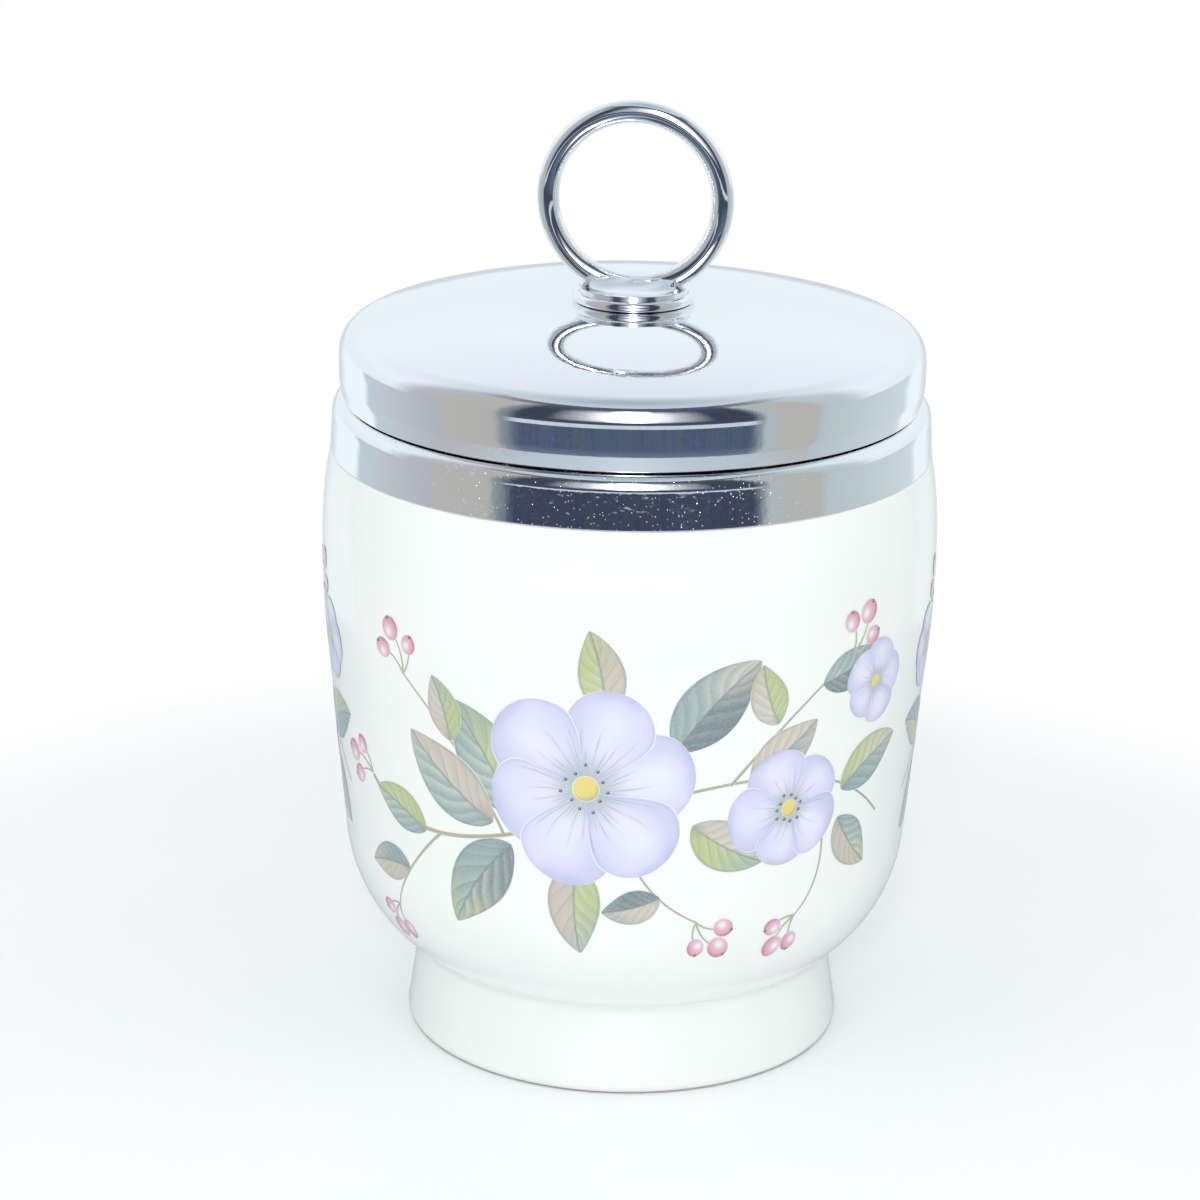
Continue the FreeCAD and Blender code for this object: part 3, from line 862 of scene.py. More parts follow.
@dataclass
class Motifs:
    """Shapes that the garland is printed from, laid out in millimetres on a flat sheet."""

    pigments: Pigments = field(default_factory=Pigments)

    def ink(self, name: str, like: np.ndarray) -> np.ndarray:
        """Gives a pigment's linear colour on every place of a grid."""
        return np.broadcast_to(np.array(linear(getattr(self.pigments, name))[:3]), like.shape + (3,))

    def leaf(self, root: tuple[float, float], heading: float, length: float, width: float, bend: float,
             halves: tuple[str, str], seed: int) -> Patch:
        """Draws a smooth oval leaf.

        Its midrib is an arc that turns by the bend over its length. Across it the half width is
        width * sin(pi t^0.84)^0.8, drawn out at the tip. Side veins run forward from the midrib, and the
        wash between two of them grows paler away from the lower one.

        Args:
            root: where the leaf starts.
            heading: direction of its start, in degrees above the girth line.
            length: length along the midrib.
            width: half the greatest width.
            bend: degrees by which the midrib turns.
            halves: pigments of the left and the right half.
            seed: seed of its own unevenness.

        Returns:
            The patch.
        """
        random = np.random.default_rng(seed)
        t = np.linspace(0, 1, 72)[:, None]
        v = np.linspace(-1, 1, 41)[None, :]
        direction = np.radians(heading + bend * t)
        step = length / (len(t) - 1)
        half = width * np.sin(np.pi * t ** 0.84) ** 0.8 + 0.03
        s = root[0] + np.cumsum(np.cos(direction), 0) * step - np.sin(direction) * v * half
        h = root[1] + np.cumsum(np.sin(direction), 0) * step + np.cos(direction) * v * half
        colour = blend(self.ink(halves[0], s), self.ink(halves[1], s), soft_step(-0.04, 0.04, v + 0 * t))
        tip = self.ink(("teal", "taupe", "olive")[seed % 3], s)
        colour = blend(colour, tip, 0.65 * soft_step(0.45, 1.0, t + 0.15 * np.sin(3 * v + seed)))
        comb = (t - 0.30 * np.abs(v) ** 0.85) * 6.0 + 0.5 * (v > 0) + 0.18 * np.sin(9 * t + 2 * v + seed)
        between = comb - np.floor(comb)
        lit = (1 - 0.45 * np.abs(v)) * (0.25 + 0.5 * soft_step(0.1, 0.95, between))
        lit = lit * (0.45 + 0.35 * (v > 0))
        patchy = 0.75 + 0.25 * np.sin(4 * t + random.uniform(0, 6))
        colour = blend(colour, self.ink("leaf_light", s), lit * patchy)
        near = np.minimum(between, 1 - between)
        vein = np.exp(-(near / 0.055) ** 2) * (1 - 0.6 * np.abs(v)) * soft_step(0.02, 0.12, t)
        rib = np.exp(-(v * half / 0.11) ** 2)
        margin = soft_step(0.80, 0.98, np.abs(v) + 0 * t)
        root_shade = 1 - soft_step(0.0, 0.3, t + 0.2 * np.abs(v))
        shade = np.maximum.reduce([0.62 * rib, 0.45 * vein, 0.42 * margin, 0.5 * root_shade])
        colour = blend(colour, self.ink("slate", s), shade)
        edge = 1 - soft_step(0.965, 1.0, np.abs(v) + 0 * t)
        return Patch(s, h, colour, 0.95 * edge)

    def petal(self, root: tuple[float, float], heading: float, length: float, width: float,
              seed: int) -> Patch:
        """Draws one broad petal.

        Its half width grows as sin(pi/2 * 1.5 t)^1.2 to its shoulder, and rounds off at the tip as an
        ellipse. The wash is pale in the middle, mauve at the margin and deep at the root, from which
        fine veins fan out.

        Args:
            root: where the petal starts.
            heading: its direction, in degrees above the girth line.
            length: its length.
            width: half its greatest width.
            seed: seed of its own unevenness.

        Returns:
            The patch.
        """
        random = np.random.default_rng(seed)
        t = 1 - (1 - np.linspace(0, 1, 64)[:, None]) ** 1.8
        v = np.linspace(-1, 1, 49)[None, :]
        along = np.radians(heading)
        body = 0.14 + 0.86 * np.sin(np.pi / 2 * np.clip(1.5 * t, 0, 1)) ** 1.2
        tip = np.sqrt(np.clip(1 - np.clip((t - 0.5) / 0.5, 0, 1) ** 2.3, 0, 1))
        half = width * np.maximum(body * tip, 0.002)
        ruffle = 1 + 0.015 * np.sin(5 * v + random.uniform(0, 6)) * t ** 2 * tip
        reach = length * t * ruffle
        across = v * half + 0.06 * width * np.sin(3 * t + random.uniform(0, 6))
        s = root[0] + np.cos(along) * reach - np.sin(along) * across
        h = root[1] + np.sin(along) * reach + np.cos(along) * across
        rim = np.maximum(np.abs(v) ** 1.6, soft_step(0.62, 1.0, t + 0 * v))
        cloud = 0.5 + 0.5 * np.sin(2.1 * v + 3.2 * t + random.uniform(0, 6))
        colour = blend(self.ink("petal_pale", s), self.ink("petal", s), 0.25 + 0.6 * rim + 0.25 * cloud)
        colour = blend(colour, self.ink("petal_deep", s), 0.35 * soft_step(0.2, 0.95, v + 0.3 * t))
        throat = 1 - soft_step(0.05, 0.42, t + 0.1 * np.abs(v))
        colour = blend(colour, self.ink("teal", s), 0.55 * throat)
        fan = v * 6.5 + 0.2 * np.sin(5 * t + seed)
        near = np.abs(fan - np.round(fan))
        length_of_vein = 0.42 + 0.25 * np.cos(2.4 * np.round(fan) + seed)
        vein = np.exp(-(near / 0.12) ** 2) * (1 - soft_step(0.5 * length_of_vein, length_of_vein, t))
        colour = blend(colour, self.ink("slate", s), 0.5 * vein)
        margin = soft_step(0.86, 0.985, np.maximum(np.abs(v), t))
        colour = blend(colour, self.ink("petal_deep", s), 0.45 * margin)
        edge = (1 - soft_step(0.98, 1.0, np.abs(v) + 0 * t)) * (1 - soft_step(0.9985, 1.0, t + 0 * v))
        return Patch(s, h, colour, 0.92 * edge)

    def disc(self, centre: tuple[float, float], radius: float, inks: tuple[str, str, str],
             stretch: float = 1.0, turn: float = 0.0) -> Patch:
        """Draws a round berry or a flower's eye, lit from one side, as rings of growing radius.

        Args:
            centre: its middle.
            radius: its radius.
            inks: pigments of the lit side, the body and the shaded rim.
            stretch: length over width.
            turn: direction of the length, in degrees.

        Returns:
            The patch.
        """
        r = np.linspace(0.001, 1, 22)[:, None]
        a = np.linspace(0, TAU, 41)[None, :]
        along, across = radius * stretch * r * np.cos(a), radius * r * np.sin(a)
        turned = math.radians(turn)
        s = centre[0] + np.cos(turned) * along - np.sin(turned) * across
        h = centre[1] + np.sin(turned) * along + np.cos(turned) * across
        spot = np.exp(-((r * np.cos(a - 2.2) - 0.35) ** 2 + (r * np.sin(a - 2.2)) ** 2) / 0.2)
        colour = blend(self.ink(inks[1], s), self.ink(inks[0], s), spot)
        shaded = soft_step(0.5, 1.0, r * (0.75 + 0.35 * np.cos(a + 1.0)))
        colour = blend(colour, self.ink(inks[2], s), 0.85 * shaded)
        return Patch(s, h, colour, 1 - soft_step(0.93, 1.0, r + 0 * a))

    def stem(self, knots: Sequence[tuple[float, float]], width: float) -> Patch:
        """Draws a stem: a ribbon along the smooth curve through its knots, thinner towards its end.

        Args:
            knots: points that the stem passes.
            width: half its width at the start.

        Returns:
            The patch.
        """
        plane = np.array(knots, float)
        place = np.arange(len(plane))
        t = np.linspace(0, len(plane) - 1, 90)
        degree = min(3, len(plane) - 1)
        s_mid = np.polyval(np.polyfit(place, plane[:, 0], degree), t)
        h_mid = np.polyval(np.polyfit(place, plane[:, 1], degree), t)
        ds, dh = np.gradient(s_mid), np.gradient(h_mid)
        length = np.hypot(ds, dh)
        v = np.linspace(-1, 1, 9)[None, :]
        taper = (1 - 0.5 * t / t[-1])[:, None] * width
        s = s_mid[:, None] - (dh / length)[:, None] * v * taper
        h = h_mid[:, None] + (ds / length)[:, None] * v * taper
        colour = blend(self.ink("stem", s), self.ink("olive", s), 0.3 + 0.3 * np.sin(t * 2)[:, None] + 0 * v)
        colour = blend(colour, self.ink("slate", s), 0.5 * soft_step(0.2, 0.9, -v + 0 * t[:, None]))
        return Patch(s, h, colour, 0.9 * (1 - soft_step(0.6, 1.0, np.abs(v) + 0 * t[:, None])))

    def blossom(self, centre: tuple[float, float], radius: float, turn: float, petals: int,
                seed: int) -> list[Patch]:
        """Draws an open blossom: petals round a yellow eye with a ring of dark stamen heads.

        Args:
            centre: the middle of the eye.
            radius: length of a petal.
            turn: direction of the first petal, in degrees.
            petals: how many petals.
            seed: seed of the petals.

        Returns:
            The patches, lowest first.
        """
        patches = []
        for index in range(petals):
            random = np.random.default_rng(seed + index)
            heading = turn + 360 * index / petals + random.uniform(-4, 4)
            size = radius * random.uniform(0.92, 1.06)
            away = 0.09 * radius
            start = (centre[0] + away * math.cos(math.radians(heading)),
                     centre[1] + away * math.sin(math.radians(heading)))
            width = size * 3.0 / petals * random.uniform(0.93, 1.07)
            patches.append(self.petal(start, heading, size, width, seed + index))
        patches.append(self.disc(centre, 0.12 * radius + 0.2, ("yellow", "yellow", "olive")))
        stamens = 11
        for index in range(stamens):
            heading = math.radians(turn + 360 / stamens * index + 11)
            reach = (0.17 + 0.035 * ((index * 7) % 3)) * radius + 0.2
            spot = (centre[0] + reach * math.cos(heading), centre[1] + reach * math.sin(heading))
            patches.append(self.disc(spot, 0.2, ("taupe", "dark", "dark")))
        return patches

    def berries(self, fork: tuple[float, float], heading: float, reach: float) -> list[Patch]:
        """Draws three round pink berries on short stalks from one fork.

        Args:
            fork: where the stalks part.
            heading: direction of the middle stalk, in degrees.
            reach: length of the middle stalk.

        Returns:
            The patches, lowest first.
        """
        patches = []
        for turn, share, size in ((-38, 0.8, 0.98), (34, 0.86, 1.05), (0, 1.12, 1.2)):
            angle = math.radians(heading + turn)
            end = (fork[0] + share * reach * math.cos(angle), fork[1] + share * reach * math.sin(angle))
            bow = (fork[0] + 0.5 * share * reach * math.cos(angle - 0.25),
                   fork[1] + 0.5 * share * reach * math.sin(angle - 0.25))
            patches.append(self.stem((fork, bow, end), 0.14))
            patches.append(self.disc(end, size, ("petal_pale", "pink", "pink_deep"), 1.12, heading + turn))
            tip = (end[0] + 0.95 * size * math.cos(angle), end[1] + 0.95 * size * math.sin(angle))
            patches.append(self.disc(tip, 0.2, ("taupe", "dark", "dark")))
        return patches


@dataclass
class PrintedGarland:
    """Generic flower garland printed round the cup: open blossoms, smooth oval leaves and round berries.

    The flat sheet of motifs, s millimetres along the girth and h up, is wrapped on the glaze: the angle is
    s / girth radius, and the radius is the cup's own plus a thin lift that grows by a hair a layer.
    """

    cup: Cup
    front: float
    girth: float = 32.0
    lift: float = 0.01
    layer_lift: float = 0.0007
    layers: int = 64
    layer: int = 0
    motifs: Motifs = field(default_factory=Motifs)

    def print_piece(self, name: str, patches: Sequence[Patch], material: bpy.types.Material) -> None:
        """Wraps patches on the glaze as one mesh and dresses it.

        Args:
            name: the piece's name.
            patches: the patches, lowest first.
            material: the print.
        """
        points, normals, inks, faces = [], [], [], []
        start = 0
        for patch in patches:
            self.layer += 1
            radius, slope = self.cup.outside(patch.h)
            angle = patch.s / self.girth + self.front
            out = radius + self.lift + self.layer_lift * (self.layer % self.layers)
            place = np.stack([out * np.sin(angle), -out * np.cos(angle), patch.h], -1).reshape(-1, 3)
            normal = np.stack([np.sin(angle), -np.cos(angle), -slope], -1).reshape(-1, 3)
            cells = grid_faces(*patch.s.shape, False, False)
            first = cells[len(cells) // 2]
            across = np.cross(place[first[1]] - place[first[0]], place[first[3]] - place[first[0]])
            if across @ normal[first[0]] < 0:
                cells = cells[:, ::-1]
            points.append(place)
            normals.append(normal)
            inks.append(np.concatenate([patch.colour, patch.strength[..., None]], -1).reshape(-1, 4))
            faces.append(cells + start)
            start += len(place)
        piece = build_mesh(name, np.vstack(points), faces, np.vstack(normals))
        wash = piece.data.attributes.new("wash", "FLOAT_COLOR", "POINT")
        wash.data.foreach_set("color", np.vstack(inks).astype(np.float32).ravel())
        dress(piece, material, Body.CUP)

    def spray(self, name: str, at: float, flip: int, material: bpy.types.Material, seed: int) -> None:
        """Prints one spray of the garland.

        Args:
            name: the pieces' first name.
            at: place of its middle along the girth.
            flip: 1, or -1 for a spray that is turned left for right.
            material: the print.
            seed: seed of its unevenness.
        """
        def place(s: float, h: float) -> tuple[float, float]:
            """Gives a point of the spray on the sheet."""
            return at + flip * s, h

        def heading(angle: float) -> float:
            """Gives a direction of the spray, turned over with it."""
            return angle if flip > 0 else 180 - angle

        stems = (
            (((-33, 33), (-22, 29), (-10, 32), (3, 37), (18, 36), (31, 30)), 0.30),
            (((-22, 29.3), (-27, 24), (-30, 19)), 0.20), (((-14, 31), (-19, 39), (-26, 46)), 0.22),
            (((10, 37), (17, 44), (24, 49)), 0.22), (((20, 35.5), (22, 27), (19, 21)), 0.20),
            (((-2, 35), (1, 27), (7, 22)), 0.20),
        )
        ribbons = [self.motifs.stem([place(*knot) for knot in knots], width) for knots, width in stems]
        self.print_piece(f"{name}_stems", ribbons, material)
        leaves = (
            (-13, 33, 108, 13.5, 3.6, 24, ("leaf_green", "teal")),
            (-15, 32, 152, 13.0, 3.4, -20, ("taupe", "teal")),
            (-13, 30, 222, 12.5, 3.3, 24, ("teal", "slate")),
            (-6, 29, 262, 10.5, 2.9, 20, ("taupe", "leaf_green")),
            (4, 41, 58, 12.5, 3.4, -22, ("slate", "teal")),
            (-3, 45, 92, 9.0, 2.4, 18, ("taupe", "leaf_green")),
            (6, 33, 318, 9.5, 2.7, 22, ("leaf_green", "taupe")),
            (12, 38, 20, 9.0, 2.5, 24, ("teal", "taupe")),
            (15, 43, 118, 7.0, 2.1, -20, ("leaf_green", "taupe")),
            (20, 46.5, 8, 8.0, 2.2, 20, ("slate", "teal")),
            (24, 34, 35, 10.0, 2.7, -24, ("teal", "leaf_green")),
            (24, 31, 300, 8.5, 2.4, 22, ("taupe", "teal")),
            (-20, 40, 95, 7.0, 2.0, 22, ("leaf_green", "taupe")),
            (-27, 24, 178, 7.5, 2.1, 22, ("teal", "taupe")),
            (-24, 29, 150, 8.5, 2.3, 20, ("leaf_green", "teal")),
            (3, 25, 205, 6.5, 1.9, -20, ("slate", "taupe")),
        )
        for index, (s, h, angle, length, width, bend, halves) in enumerate(leaves):
            leaf = self.motifs.leaf(place(s, h), heading(angle), length, width, flip * bend, halves,
                                    seed + index)
            self.print_piece(f"{name}_leaf_{index + 1:02d}", [leaf], material)
        blossoms = ((-5, 37, 10.2, 14, 6), (17, 33.5, 6.2, 40, 5), (28, 45, 4.2, 5, 5))
        for index, (s, h, radius, turn, petals) in enumerate(blossoms):
            flower = self.motifs.blossom(place(s, h), radius, heading(turn), petals, seed + 50 * (index + 1))
            self.print_piece(f"{name}_blossom_{index + 1}", flower, material)
        forks = ((-26, 46, 112, 4.2), (-33, 33, 165, 4.0), (-30, 19, 240, 3.6), (24, 49, 62, 4.0),
                 (7, 22, 310, 3.8), (19, 21, 235, 3.6))
        for index, (s, h, angle, reach) in enumerate(forks):
            berries = self.motifs.berries(place(s, h), heading(angle), reach)
            self.print_piece(f"{name}_berries_{index + 1}", berries, material)

    def build(self, material: bpy.types.Material) -> None:
        """Prints the garland: one spray faces the front, and two more carry it round the back.

        Args:
            material: the print.
        """
        third = TAU * self.girth / 3
        self.spray("front", 1.0, 1, material, 3)
        self.spray("right", 1.0 + third + 3, -1, material, 410)
        self.spray("left", 1.0 - third - 4, 1, material, 770)


# What mirrors see round the object, by bearing in degrees from the camera, positive to the right.
CLOTH_STRIPS: Stops = (
    (-180, "#c9d1d7"), (-160, "#d3dbe0"), (-150, "#eef4f8"), (-128, "#f2f8fc"), (-124, "#bfccd3"),
    (-113, "#c2cad1"), (-110, "#c2c4cb"), (-80, "#b3b4ba"), (-76, "#b7b4b0"), (-54, "#b4b1ad"),
    (-51, "#868f96"), (51, "#8d979c"), (53, "#b0babc"), (58, "#afb7b9"), (60, "#b6b5b0"), (76, "#b6b5b0"),
    (79, "#b8c2c7"), (132, "#cfd9de"), (138, "#eff6fa"), (150, "#eef4f8"), (160, "#d3dbe0"),
    (180, "#c9d1d7"))
ROOM_OPENING: Stops = ((-50, 0.0), (-44, 1.0), (47, 1.0), (51, 0.0))
HEM_REACH: Stops = ((-105, 0.0), (-60, 1.0), (60, 1.0), (105, 0.0))
FLASH_ACROSS: Stops = (
    (-32, 0.0), (-19, 0.06), (-10, 0.14), (-6, 0.5), (-2, 1.0), (2, 1.0), (6, 0.5), (10, 0.14), (19, 0.06),
    (32, 0.0))
# What mirrors see by height, from 0 straight down to 1 straight up.
DIM_ROOM: Stops = (
    (0.25, "#66748b"), (0.345, "#55627a"), (0.375, "#4c586d"), (0.395, "#3d4458"), (0.4155, "#3d4458"),
    (0.420, "#c6d1da"), (0.440, "#c6d1da"), (0.449, "#454c5f"), (0.55, "#3d4455"), (0.80, "#3c4353"),
    (0.90, "#444c5c"), (0.95, "#6d7a89"))
HEM_HEIGHT: Stops = ((0.90, 0.0), (0.925, 0.75), (0.948, 0.85), (0.956, 0.0))
TENT_ROOF: Stops = (
    (0.60, "#e8f0f5"), (0.70, "#edf4fa"), (0.82, "#e8eff6"), (0.90, "#dbe3ea"), (0.95, "#ccd5de"),
    (0.985, "#b9c4ce"), (1.0, "#a9b5c1"))
FLASH_HEIGHT: Stops = ((0.53, 0.0), (0.58, 0.8), (0.66, 1.0), (0.82, 1.0), (0.90, 0.0))


@dataclass
class Studio:
    """Pale tabletop, white surround, soft light and the camera. Millimetres and radians.

    The camera's numbers are fitted to the circles of foot, collar and lid.
    """

    azimuth: float = math.radians(9.0)
    focal_pixels: float = 3922.0
    distance: float = 395.9
    height: float = 176.0
    pitch: float = 0.3158
    yaw: float = -0.0076
    roll: float = 0.015
    sensor: float = 36.0
    nearest: float = 10.0
    floor_reach: float = 1500.0
    paper_reach: tuple[float, float] = (138.0, 152.0)
    fade_out: tuple[float, float] = (85.0, 125.0)
    paper: tuple[str, str] = ("#f8fbfd", "#fbfdfe")
    mirrored_paper: str = "#bcc5cd"
    tooth: float = 40.0
    cup_middle: float = 45.0
    hem: str = "#4c5666"
    fill: float = 0.77
    key: float = 0.36
    key_rise: tuple[float, float] = (0.5, 0.866)
    daylight: str = "#f9fafb"
    mirror_strength: float = 1.08
    flash_gain: float = 8.0

    def aim_camera(self) -> None:
        """Places the camera: forward from pitch and yaw, right and up turned by the roll."""
        cosine, sine = math.cos(self.pitch), math.sin(self.pitch)
        forward = Vector((math.sin(self.yaw) * cosine, math.cos(self.yaw) * cosine, -sine))
        right = Vector((math.cos(self.yaw), -math.sin(self.yaw), 0.0))
        up = right.cross(forward)
        rolled_right = right * math.cos(self.roll) + up * math.sin(self.roll)
        rolled_up = up * math.cos(self.roll) - right * math.sin(self.roll)
        turn = Matrix.Rotation(self.azimuth, 3, "Z")
        axes = [turn @ axis for axis in (rolled_right, rolled_up, -forward)]
        place = turn @ Vector((0.0, -self.distance * MM, self.height * MM))
        data = bpy.data.cameras.new("camera")
        data.sensor_width = self.sensor
        data.lens = self.focal_pixels / IMAGE_PIXELS * self.sensor
        data.clip_start = self.nearest * MM
        camera = bpy.data.objects.new("camera", data)
        rows = [[axes[column][row] for column in range(3)] + [place[row]] for row in range(3)]
        camera.matrix_world = Matrix(rows + [[0.0, 0.0, 0.0, 1.0]])
        bpy.context.scene.collection.objects.link(camera)
        bpy.context.scene.camera = camera

    def lay_floor(self) -> None:
        """Lays the pale tabletop, which mirrors show only as far as the paper on it reaches."""
        reach = self.floor_reach
        corners = np.array([[-reach, -reach, 0], [reach, -reach, 0], [reach, reach, 0], [-reach, reach, 0]])
        floor = build_mesh("tabletop", corners, [np.array([[0, 1, 2, 3]])])
        material, tree, place = new_material("pale_paper")
        tooth = add_node(tree, "ShaderNodeTexNoise", Vector=place, Scale=1 / (self.tooth * MM), Detail=3.0)
        tone = add_node(tree, "ShaderNodeValToRGB", stops=((0.3, self.paper[0]), (0.7, self.paper[1])),
                        Fac=tooth.outputs["Fac"])
        path = add_node(tree, "ShaderNodeLightPath")
        dimmed = add_node(tree, "ShaderNodeMix", {"data_type": "RGBA"}, Factor=path.outputs["Is Glossy Ray"],
                          in_6=tone.outputs["Color"], in_7=linear(self.mirrored_paper))
        paper = add_node(tree, "ShaderNodeBsdfPrincipled", Base_Color=dimmed.outputs[2], Roughness=0.6)
        away = add_node(tree, "ShaderNodeVectorMath", {"operation": "LENGTH"}, in_0=place).outputs["Value"]
        off_paper, far = (
            add_node(tree, "ShaderNodeMapRange", {"interpolation_type": "SMOOTHSTEP"}, Value=away,
                     From_Min=low * MM, From_Max=high * MM).outputs["Result"]
            for low, high in (self.paper_reach, self.fade_out))
        mirrored = add_node(tree, "ShaderNodeMath", {"operation": "MULTIPLY"}, in_0=off_paper,
                            in_1=path.outputs["Is Glossy Ray"])
        gone = add_node(tree, "ShaderNodeMath", {"operation": "MULTIPLY_ADD"}, in_0=far,
                        in_1=path.outputs["Is Camera Ray"], in_2=mirrored.outputs["Value"])
        clear = add_node(tree, "ShaderNodeBsdfTransparent")
        mixed = add_node(tree, "ShaderNodeMixShader", Fac=gone.outputs["Value"],
                         in_1=paper.outputs["BSDF"], in_2=clear.outputs["BSDF"])
        add_node(tree, "ShaderNodeOutputMaterial", Surface=mixed.outputs["Shader"])
        floor.data.materials.append(material)

    def mirrored_room(self, tree: bpy.types.NodeTree, sky: bpy.types.NodeSocket) -> bpy.types.NodeSocket:
        """Paints what mirrors see.

        The tent is bright behind and overhead, and open in front, where the room is dim and holds the
        flash. Cloth strips hang at both sides of the opening, under the tent's dark hem.

        Args:
            tree: the world's node tree.
            sky: the direction looked in.

        Returns:
            The colour seen there.
        """
        turned = add_node(tree, "ShaderNodeMapping", Vector=sky,
                          Rotation=(0.0, 0.0, math.pi / 2 - self.azimuth))
        bearing = add_node(tree, "ShaderNodeTexGradient", {"gradient_type": "RADIAL"},
                           Vector=turned.outputs["Vector"])
        up = add_node(tree, "ShaderNodeSeparateXYZ", Vector=sky).outputs["Z"]
        level = add_node(tree, "ShaderNodeMapRange", Value=up, From_Min=-1.0)
        strips, opening, hem_reach, flash_across = (
            add_node(tree, "ShaderNodeValToRGB", stops=[(0.5 + turn / 360, seen) for turn, seen in stops],
                     Fac=bearing.outputs["Fac"]).outputs["Color"]
            for stops in (CLOTH_STRIPS, ROOM_OPENING, HEM_REACH, FLASH_ACROSS))
        room, hem_height, roof, flash_height = (
            add_node(tree, "ShaderNodeValToRGB", stops=stops, Fac=level.outputs["Result"]).outputs["Color"]
            for stops in (DIM_ROOM, HEM_HEIGHT, TENT_ROOF, FLASH_HEIGHT))
        grain = add_node(tree, "ShaderNodeTexNoise", Vector=sky, Scale=60.0, Detail=3.0)
        mottled = add_node(tree, "ShaderNodeMix", {"data_type": "RGBA", "blend_type": "OVERLAY"},
                           Factor=0.6, in_6=room, in_7=grain.outputs["Color"])
        walls = add_node(tree, "ShaderNodeMix", {"data_type": "RGBA"}, Factor=opening, in_6=strips,
                         in_7=mottled.outputs[2])
        hem = add_node(tree, "ShaderNodeMath", {"operation": "MULTIPLY"}, in_0=hem_height, in_1=hem_reach)
        hemmed = add_node(tree, "ShaderNodeMix", {"data_type": "RGBA"}, Factor=hem.outputs["Value"],
                          in_6=walls.outputs[2], in_7=linear(self.hem))
        behind = add_node(tree, "ShaderNodeVectorMath", {"operation": "DOT_PRODUCT"}, in_0=sky,
                          in_1=(-math.sin(self.azimuth), math.cos(self.azimuth), 0.0))
        overhead, tent_back, raised = (
            add_node(tree, "ShaderNodeMapRange", {"interpolation_type": "SMOOTHSTEP"}, Value=value,
                     From_Min=low, From_Max=high).outputs["Result"]
            for value, low, high in ((up, 0.89, 0.915), (behind.outputs["Value"], 0.02, 0.30),
                                     (up, -0.06, 0.03)))
        back = add_node(tree, "ShaderNodeMath", {"operation": "MULTIPLY"}, in_0=tent_back, in_1=raised)
        tent = add_node(tree, "ShaderNodeMath", {"operation": "MAXIMUM"}, in_0=overhead,
                        in_1=back.outputs["Value"])
        seen = add_node(tree, "ShaderNodeMix", {"data_type": "RGBA"}, Factor=tent.outputs["Value"],
                        in_6=hemmed.outputs[2], in_7=roof)
        glow = add_node(tree, "ShaderNodeMath", {"operation": "MULTIPLY"}, in_0=flash_across,
                        in_1=flash_height)
        flash = add_node(tree, "ShaderNodeMath", {"operation": "MULTIPLY"}, in_0=glow.outputs["Value"],
                         in_1=self.flash_gain)
        lit = add_node(tree, "ShaderNodeMix", {"data_type": "RGBA", "blend_type": "ADD"}, Factor=1.0,
                       in_6=seen.outputs[2], in_7=flash.outputs["Value"])
        return lit.outputs[2]

    def light_world(self) -> None:
        """Surrounds the object: white to the eye, soft white to dull surfaces, the tent to mirrors."""
        world = bpy.data.worlds.new("studio")
        bpy.context.scene.world = world
        world.use_nodes = True
        tree = world.node_tree
        tree.nodes.clear()
        sky = add_node(tree, "ShaderNodeTexCoord").outputs["Generated"]
        out, rise = self.key_rise
        key_way = (math.sin(self.azimuth) * out, -math.cos(self.azimuth) * out, rise)
        key_near = add_node(tree, "ShaderNodeVectorMath", {"operation": "DOT_PRODUCT"}, in_0=sky,
                            in_1=key_way)
        soft = add_node(tree, "ShaderNodeMapRange", Value=key_near.outputs["Value"], From_Min=0.0,
                        To_Min=self.fill, To_Max=self.fill + self.key)
        path = add_node(tree, "ShaderNodeLightPath")
        plain = add_node(tree, "ShaderNodeBackground", Color=linear(self.daylight),
                         Strength=soft.outputs["Result"])
        mirror = add_node(tree, "ShaderNodeBackground", Color=self.mirrored_room(tree, sky),
                          Strength=self.mirror_strength)
        white = add_node(tree, "ShaderNodeBackground", Color=(1.0, 1.0, 1.0, 1.0), Strength=1.0)
        glossy = add_node(tree, "ShaderNodeMixShader", Fac=path.outputs["Is Glossy Ray"],
                          in_1=plain.outputs["Background"], in_2=mirror.outputs["Background"])
        through = add_node(tree, "ShaderNodeMath", {"operation": "MAXIMUM"},
                           in_0=path.outputs["Is Camera Ray"], in_1=path.outputs["Is Transmission Ray"])
        camera = add_node(tree, "ShaderNodeMixShader", Fac=through.outputs["Value"],
                          in_1=glossy.outputs["Shader"], in_2=white.outputs["Background"])
        add_node(tree, "ShaderNodeOutputWorld", Surface=camera.outputs["Shader"])

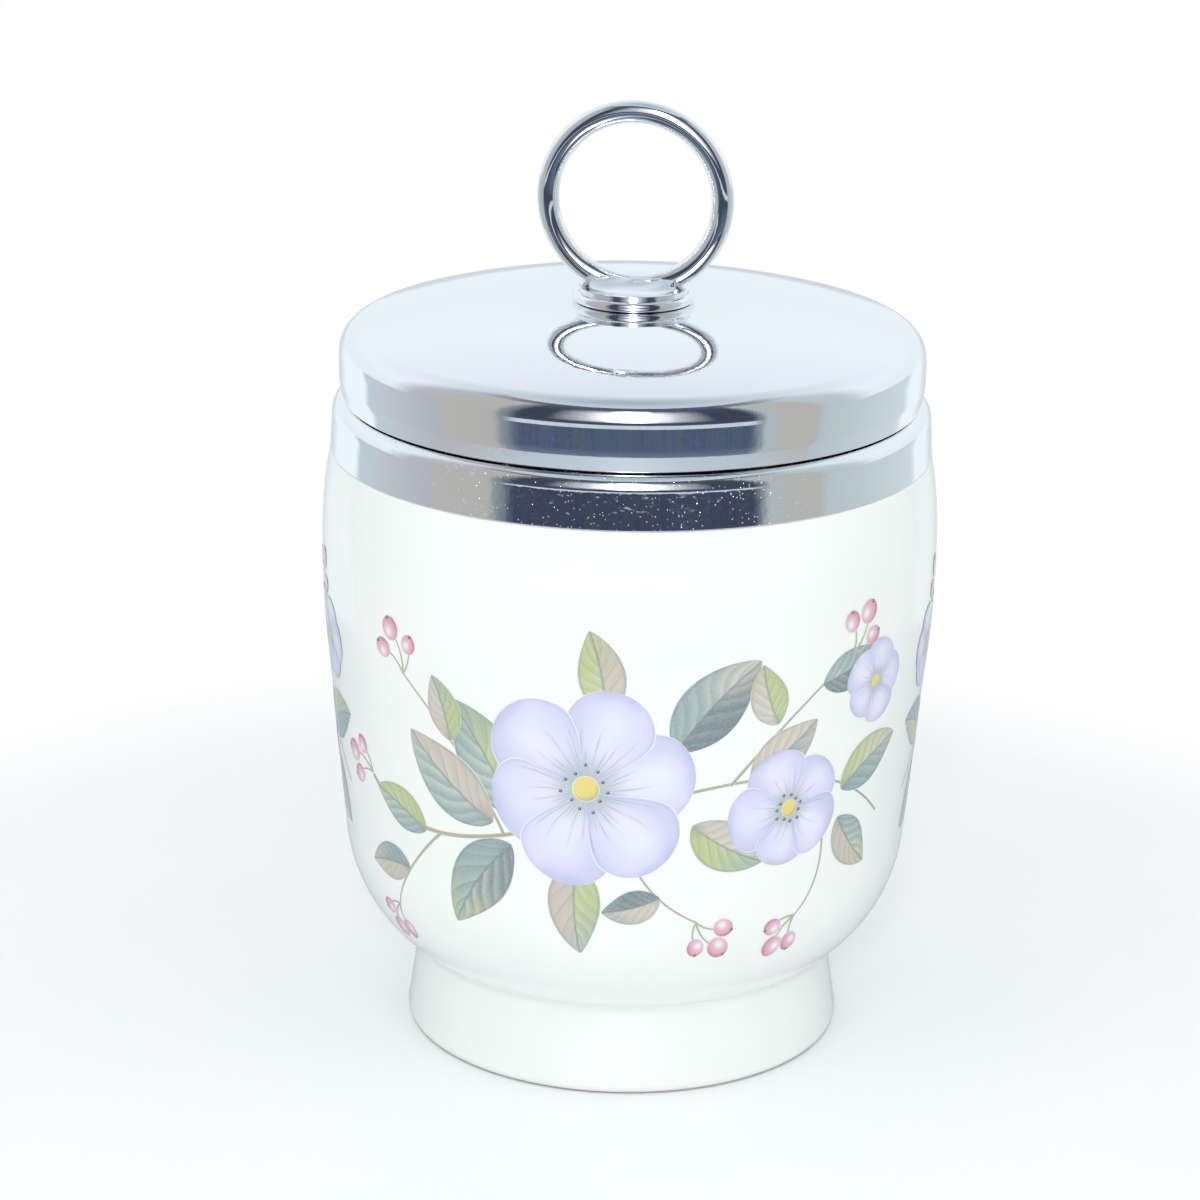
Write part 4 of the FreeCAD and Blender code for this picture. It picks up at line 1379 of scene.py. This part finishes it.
    def hang_lamp(self, name: str, azimuth: float, place: tuple[float, float], size: tuple[float, float],
                  power: float, colour: str) -> None:
        """Hangs one soft lamp that looks at the cup.

        Args:
            name: the lamp's name.
            azimuth: degrees round from the camera, positive to the right.
            place: distance from the axis and height, in millimetres.
            size: width and height of its window, in millimetres.
            power: its power in watts.
            colour: its colour.
        """
        data = bpy.data.lights.new(name, "AREA")
        data.shape = "RECTANGLE"
        data.size, data.size_y = size[0] * MM, size[1] * MM
        data.energy = power
        data.color = linear(colour)[:3]
        lamp = bpy.data.objects.new(name, data)
        angle = self.azimuth + math.radians(azimuth)
        spot = Vector((place[0] * math.sin(angle), -place[0] * math.cos(angle), place[1])) * MM
        aim = Vector((0.0, 0.0, self.cup_middle * MM)) - spot
        lamp.location = spot
        lamp.rotation_euler = aim.to_track_quat("-Z", "Y").to_euler()
        bpy.context.scene.collection.objects.link(lamp)

    def build(self) -> None:
        """Builds the floor, the surround, the lamp and the camera."""
        bpy.context.scene.view_settings.view_transform = "Standard"
        self.aim_camera()
        self.lay_floor()
        self.light_world()
        self.hang_lamp("flash", -2.0, (420.0, 215.0), (52.0, 40.0), 0.40, "#fffdf8")
        LOG.info("studio and camera are set up")


def finish_hidden_pieces() -> None:
    """Gives the pieces that keep their own mesh their materials."""
    steel, cement = TurnedSteel().make(), SetCement().make()
    for name, material in (("collar_cement", cement), ("lid_thread_ring", steel), ("spigot_washer", steel)):
        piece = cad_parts[name]
        piece.data.materials.clear()
        piece.data.materials.append(material)
        LOG.info("%s keeps its mesh", name)


def main() -> None:
    """Builds every piece in order."""
    logging.basicConfig(level=logging.INFO, format="%(name)s: %(message)s")
    studio = Studio()
    studio.build()
    cup = Cup()
    cup.build(BoneChinaGlaze().make())
    Collar().build(ChromePlate("collar_chrome", pit=0.28, pit_share=0.2, peel_depth=0.009).make())
    Lid().build(ChromePlate("lid_chrome").make())
    handle = Handle()
    handle_plate = ChromePlate("handle_chrome", roughness=0.03).make()
    handle.build_ring(handle_plate)
    handle.build_saddle(handle_plate)
    finish_hidden_pieces()
    PrintedGarland(cup, studio.azimuth).build(OnglazePrint().make())


if __name__ == "__main__":
    main()
